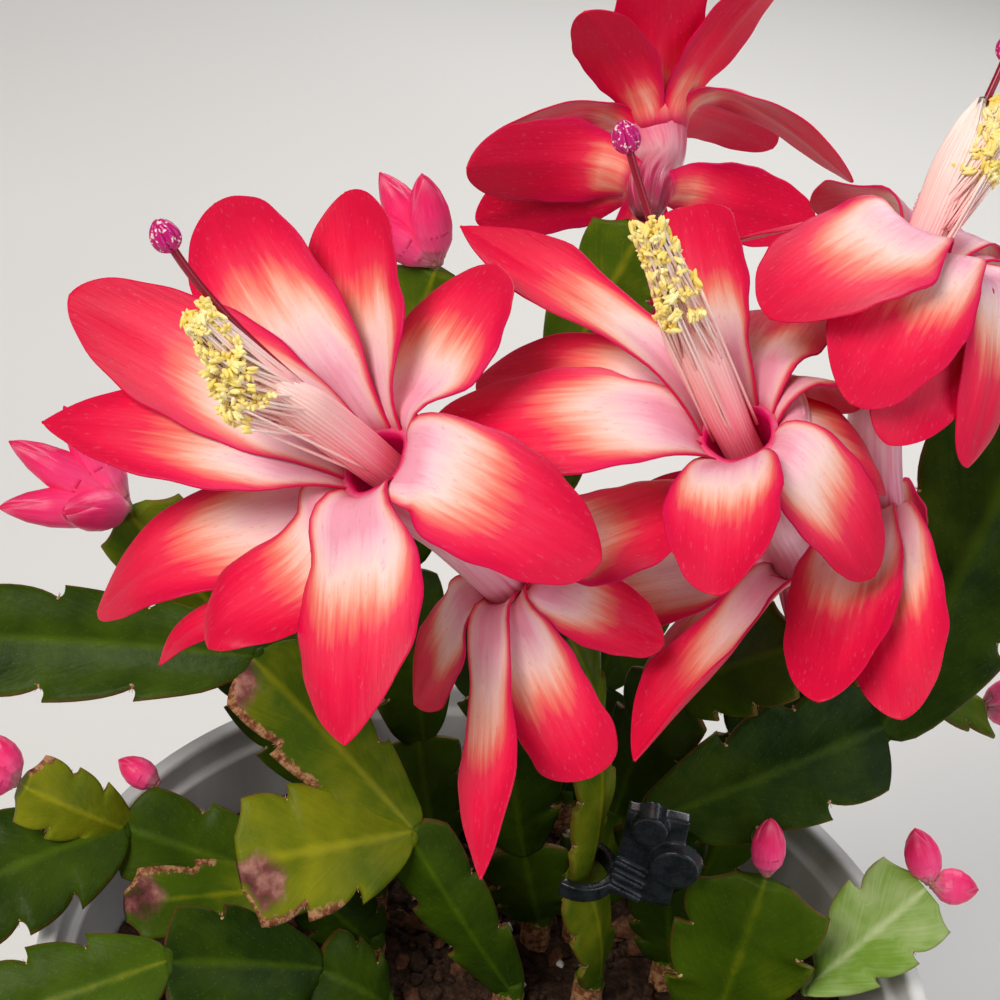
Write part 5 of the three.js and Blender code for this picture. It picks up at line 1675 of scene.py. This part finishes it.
def applied(piece):
    """The piece's mesh with its modifiers applied."""
    graph = bpy.context.evaluated_depsgraph_get()
    graph.update()
    mesh = bpy.data.meshes.new_from_object(piece.evaluated_get(graph))
    bpy.data.objects.remove(piece)
    return mesh


def make_pot():
    """The pot: a turned wall with a rolled rim and a ledge, a foot ring, and drain holes in its floor."""
    ledge, band = POT_HEIGHT - LEDGE_DROP, POT_HEIGHT - RIM_BAND
    inside = RIM_RADIUS - RIM_LIP
    wall = inner_radius(band) + WALL
    profile = rounded(
        [
            (0, 1.2),
            (BASE_RADIUS - 6, 1.2),
            (BASE_RADIUS - 5, 0),
            (BASE_RADIUS, 0),
            (BASE_RADIUS + 0.3, 1.6),
            (wall - 0.9, band - 6),
            (wall - 0.9, band - 5),
            (wall, band - 4.2),
            (wall, band),
            (RIM_RADIUS - 1.3, band),
            (RIM_RADIUS - 0.5, band + 0.8),
            (RIM_RADIUS - 0.5, band + 1.8),
            (RIM_RADIUS - 1.1, band + 2.4),
            (RIM_RADIUS - 0.7, POT_HEIGHT - 5),
            (RIM_RADIUS, POT_HEIGHT - 4),
            (RIM_RADIUS, POT_HEIGHT),
            (inside, POT_HEIGHT),
            (inside - 0.4, ledge),
            (inner_radius(ledge), ledge),
            (inner_radius(FLOOR), FLOOR),
            (0, FLOOR),
        ],
        EDGE_RADIUS,
    )
    mesh = mesh_of("pot_shell", lathe(profile, POT_SIDES))
    shell = bpy.data.objects.new("pot_shell", mesh)
    bpy.context.scene.collection.objects.link(shell)
    drills = Skin()
    turn = circle_of(DRAIN_SIDES)
    for angle in circle_of(DRAIN_HOLES):
        x = DRAIN_CIRCLE * math.cos(angle) + DRAIN_RADIUS * np.cos(turn)
        y = DRAIN_CIRCLE * math.sin(angle) + DRAIN_RADIUS * np.sin(turn)
        ring = np.stack([x, y, 0 * turn], -1)
        drills.tube(np.stack([ring - (0, 0, 2), ring + (0, 0, FLOOR + 2)]), (0, 0, 0), (0, 0, 0), 0)
    drill = bpy.data.objects.new("drill", mesh_of("drill", drills))
    bpy.context.scene.collection.objects.link(drill)
    cut = shell.modifiers.new("drain", "BOOLEAN")
    cut.object, cut.operation, cut.solver = drill, "DIFFERENCE", "EXACT"
    mesh = applied(shell)
    bpy.data.objects.remove(drill)
    mesh.polygons.foreach_set("use_smooth", np.ones(len(mesh.polygons), bool))
    mesh.set_sharp_from_angle(angle=math.radians(35))
    place_piece("pot_body", mesh, [PLASTIC], "grey_plastic", "pot")


def soil_height(xy):
    """The height of the soil's soft heaps and hollows, lower towards the wall."""
    waves = ((0.29, 0.05, 1), (0.04, 0.23, 1), (0.41, -0.37, 0.6))
    lumps = sum(height * np.sin(a * xy[..., 0] + b * xy[..., 1]) for a, b, height in waves)
    return SOIL_TOP + 0.66 * lumps - 1.5 * smooth((np.hypot(xy[..., 0], xy[..., 1]) - 36) / 20)


def add_crumb(skin, centre, size, draw, slot, flat=1.0, long=1.0):
    """A broken crumb: a rough ball of few faces."""
    share = np.linspace(-0.97, 0.97, CRUMB_ROWS)
    turn = circle_of(CRUMB_SIDES)
    radius = np.sqrt(1 - share**2)[:, None] * np.ones(CRUMB_SIDES)
    x, y = radius * np.cos(turn) * long, radius * np.sin(turn)
    ball = np.stack([x, y, share[:, None] * flat + 0 * radius], -1)
    ball = ball * (1 + 0.28 * draw.uniform(-1, 1, size=(CRUMB_ROWS, CRUMB_SIDES, 1)))
    spin = Matrix.Rotation(draw.uniform(0, 6.3), 3, "Z") @ Matrix.Rotation(draw.uniform(-0.6, 0.6), 3, "X")
    skin.tube(centre + size * ball @ np.array(spin).T, (0, 0, 0), (0, 0, 0), slot)


def make_soil():
    """The soil, lumpy on top and dipped round each stem, with loose bits of peat, bark and perlite on it."""
    reach = inner_radius(SOIL_TOP - 1.5) - SOIL_GAP
    radius = np.linspace(0.05, reach, SOIL_RINGS)[:, None]
    turn = circle_of(SOIL_SIDES)[None, :]
    xy = np.stack([radius * np.cos(turn), radius * np.sin(turn)], -1)
    grit = 0.55 * wave(xy, 4.0, 3, 4) + 0.22 * wave(xy, 1.3, 4, 2)
    roots = [np.array(stem["root"], float) for stem in STEMS.values()]
    dip = sum(np.exp(-(np.linalg.norm(xy - root, axis=-1) / 3.2) ** 2) for root in roots)
    height = soil_height(xy) + grit - 0.9 * np.minimum(dip, 1)
    top = np.concatenate([xy, height[..., None]], -1)[::-1]
    base = inner_radius(FLOOR + 0.3) - SOIL_GAP
    wall = [(reach + 0.15, SOIL_TOP - 3.0), (base, FLOOR + 0.3), (0.05, FLOOR + 0.3)]
    x, y = np.cos(turn[0]), np.sin(turn[0])
    under = np.stack([np.stack([r * x, r * y, 0 * x + z], -1) for r, z in wall])
    skin = Skin()
    skin.tube(np.concatenate([under[::-1], top]), (0, 0, 0), (0, 0, 0), 0)
    place_piece("peat", mesh_of("peat", skin), [PEAT], "potting_soil", "soil")
    draw = np.random.default_rng(31)
    crumbs = Skin()
    for count, (small, large), slot, flat, long in CRUMBS:
        for _ in range(count):
            r, angle = (reach - 1.6) * math.sqrt(draw.uniform()), draw.uniform(0, 2 * math.pi)
            at = np.array([r * math.cos(angle), r * math.sin(angle)])
            size = draw.uniform(small, large)
            if min(np.linalg.norm(at - root) for root in roots) < STUB_RADIUS + size:
                continue
            centre = np.array([*at, float(soil_height(at)) + size * flat * 0.25 + 0.2])
            add_crumb(crumbs, centre, size, draw, slot, flat, long)
    place_piece("peat_crumbs", mesh_of("peat_crumbs", crumbs), [PEAT, BARK, PERLITE], "potting_soil", "soil")


# Clip: a pad and a lug are (radius, radius at the foot, depth, place beside the grip's middle)
CLIP_RING_RADIUS = 4.9
CLIP_RING_WALL = 1.2
CLIP_RING_HEIGHT = 2.4
CLIP_HALF_OPENING = 62
CLIP_PLACE = (9.2, 5, 119.3)
CLIP_TURN = -5
CLIP_GRIP = (8, 2, 15)
CLIP_GRIP_DROP = 0.2
CLIP_RIB = (4.6, 1.2, 0.9)
CLIP_RIB_PITCH = 2.2
CLIP_RIBS = 3
CLIP_RIB_TILT = 20
CLIP_ROUNDS = ((3.6, 3.06, 1.8, (3.4, -2.6, 7.6)), (2.3, 2.3, 3.4, (-0.8, -1.8, 13.2)))
CLIP_VOXEL = 0.19
CLIP_ROUND_SIDES = 40
CLIP_ARC_STEPS = 70


def add_box(skin, size, centre, tilt=0):
    """A block tilted round Y."""
    ring = np.array([[(x, y, z) for x, y in CORNERS] for z in (-1, 1)]) * np.array(size) / 2
    turn = np.array(Matrix.Rotation(tilt, 3, "Y"))
    skin.tube(ring @ turn.T + np.array(centre), (0, 0, 0), (0, 0, 0), 0)


def add_round(skin, radius, foot, depth, centre):
    """A short round block along Y."""
    turn = circle_of(CLIP_ROUND_SIDES)
    ring = np.stack([np.cos(turn), 0 * turn, -np.sin(turn)], -1)
    ends = [ring * (foot, 0, foot) - (0, depth / 2, 0), ring * (radius, 0, radius) + (0, depth / 2, 0)]
    skin.tube(np.stack(ends) + np.array(centre), (0, 0, 0), (0, 0, 0), 0)


def make_clip():
    """A sprung ring round a joint, with a ribbed grip, a round pad and a lug, in one soft moulding."""
    skin = Skin()
    half = math.radians(CLIP_HALF_OPENING)
    arc = np.linspace(math.pi + half, 3 * math.pi - half, CLIP_ARC_STEPS)
    way = np.stack([np.cos(arc), np.sin(arc), 0 * arc], -1)
    inner, outer = CLIP_RING_RADIUS - CLIP_RING_WALL, CLIP_RING_RADIUS
    lift = np.array([0, 0, CLIP_RING_HEIGHT])
    ring = np.stack([way * inner, way * outer, way * outer + lift, way * inner + lift], 1)
    skin.tube(ring, (0, 0, 0), (0, 0, 0), 0)
    grip_x = CLIP_RING_RADIUS - 0.6 + CLIP_GRIP[0] / 2
    add_box(skin, CLIP_GRIP, (grip_x, -1, CLIP_GRIP[2] / 2 - CLIP_GRIP_DROP))
    for radius, foot, depth, (x, y, z) in CLIP_ROUNDS:
        add_round(skin, radius, foot, depth, (grip_x + x, y, z))
    for i in range(CLIP_RIBS):
        place = (grip_x - 2.2, -2.2, 1 + i * CLIP_RIB_PITCH)
        add_box(skin, CLIP_RIB, place, math.radians(CLIP_RIB_TILT))
    turn = np.array(Matrix.Rotation(math.radians(CLIP_TURN), 3, "Z"))
    skin.points = [p @ turn.T + np.array(CLIP_PLACE) for p in skin.points]
    piece = bpy.data.objects.new("clip_blank", mesh_of("clip_blank", skin))
    bpy.context.scene.collection.objects.link(piece)
    fuse = piece.modifiers.new("fuse", "REMESH")
    fuse.mode, fuse.voxel_size = "VOXEL", CLIP_VOXEL * MM
    soften = piece.modifiers.new("soften", "SMOOTH")
    soften.factor, soften.iterations = 0.5, 4
    mesh = applied(piece)
    mesh.polygons.foreach_set("use_smooth", np.ones(len(mesh.polygons), bool))
    place_piece("clip_body", mesh, [CLIP], "dark_plastic", "plant_clip")


# Stage, in metres

FLOOR_REACH = 3.0
LIT_POINT = (0, 0.01, 0.17)
# Lamps: place, size, power in watts and colour
LAMPS = {
    "key": ((-0.42, -0.5, 0.85), 0.4, 7.6, "#fffaf5"),
    "fill": ((0.6, -0.35, 0.5), 0.6, 2.4, "#f2f5ff"),
    "back": ((0.15, 0.65, 0.6), 0.5, 3.4, "#ffffff"),
}
SKY_COLOUR = "#e9eaec"
SKY_STRENGTH = 0.22


def make_floor():
    """A floor to stand on, which isn't part of the object."""
    mesh = bpy.data.meshes.new("studio_floor")
    corners = [(x * FLOOR_REACH, y * FLOOR_REACH, 0) for x, y in CORNERS]
    mesh.from_pydata(corners, [], [(0, 1, 2, 3)])
    floor = bpy.data.objects.new("studio_floor", mesh)
    mesh.materials.append(floor_paper())
    bpy.context.scene.collection.objects.link(floor)


def add_light(name, place, size, power, code):
    """A soft square lamp that faces the plant."""
    data = bpy.data.lights.new(name, "AREA")
    data.size, data.energy, data.color = size, power, linear(code)[:3]
    lamp = bpy.data.objects.new(name, data)
    lamp.location = place
    lamp.rotation_euler = (Vector(LIT_POINT) - Vector(place)).to_track_quat("-Z", "Y").to_euler()
    bpy.context.scene.collection.objects.link(lamp)


def make_camera():
    """The camera, where the photograph was taken from."""
    data = bpy.data.cameras.new("camera")
    data.sensor_width = 36
    data.angle = math.radians(CAMERA_FIELD)
    camera = bpy.data.objects.new("camera", data)
    dip, roll = math.radians(CAMERA_DIP), math.radians(CAMERA_ROLL)
    ahead = Vector((0, math.cos(dip), -math.sin(dip)))
    level, up = Vector((1, 0, 0)), Vector((0, math.sin(dip), math.cos(dip)))
    right = level * math.cos(roll) + up * math.sin(roll)
    above = up * math.cos(roll) - level * math.sin(roll)
    turn = Matrix((right, above, -ahead)).transposed().to_4x4()
    camera.matrix_world = Matrix.Translation(Vector(CAMERA_PLACE) * MM) @ turn
    bpy.context.scene.collection.objects.link(camera)
    bpy.context.scene.camera = camera


def make_stage():
    """Floor, camera, lamps and a pale sky."""
    make_floor()
    make_camera()
    for name, lamp in LAMPS.items():
        add_light(name, *lamp)
    world = bpy.data.worlds.new("studio")
    world.use_nodes = True
    sky = world.node_tree.nodes["Background"].inputs
    sky["Color"].default_value = linear(SKY_COLOUR)
    sky["Strength"].default_value = SKY_STRENGTH
    bpy.context.scene.world = world
    bpy.context.scene.view_settings.view_transform = "Standard"


PETAL = petal_flesh()
TUBE = tube_flesh()
FILAMENT = filament_flesh()
POLLEN = pollen()
STYLE = style_flesh()
GREEN = stem_skin("stem_skin", "#1c3005", "#435a0a", "#8c8c16", 0.18)
YOUNG = stem_skin("young_skin", "#4d7417", "#789a38", "#c6d29c", 0.3)
BRISTLE = bristle()
BUD = bud_flesh()
PLASTIC = nursery_plastic()
PEAT = crumbly("peat_crumb", "#1d130c", "#38261a", "#5c4431", PEAT_CRUMB)
BARK = crumbly("bark_chip", "#2e1a10", "#583722", "#7e583d", BARK_FIBRE)
PERLITE = crumbly("perlite", "#b9b4aa", "#dedad2", "#f2efe8", PERLITE_PORE)
CLIP = clip_plastic()

make_pot()
make_soil()
for stem_name, stem_says in STEMS.items():
    make_stem(stem_name, stem_says)
for bloom_name, bloom_says in BLOOMS.items():
    make_bloom(bloom_name, bloom_says)
for bunch_name, bunch_says in BUDS.items():
    make_buds(bunch_name, bunch_says)
make_clip()
make_stage()
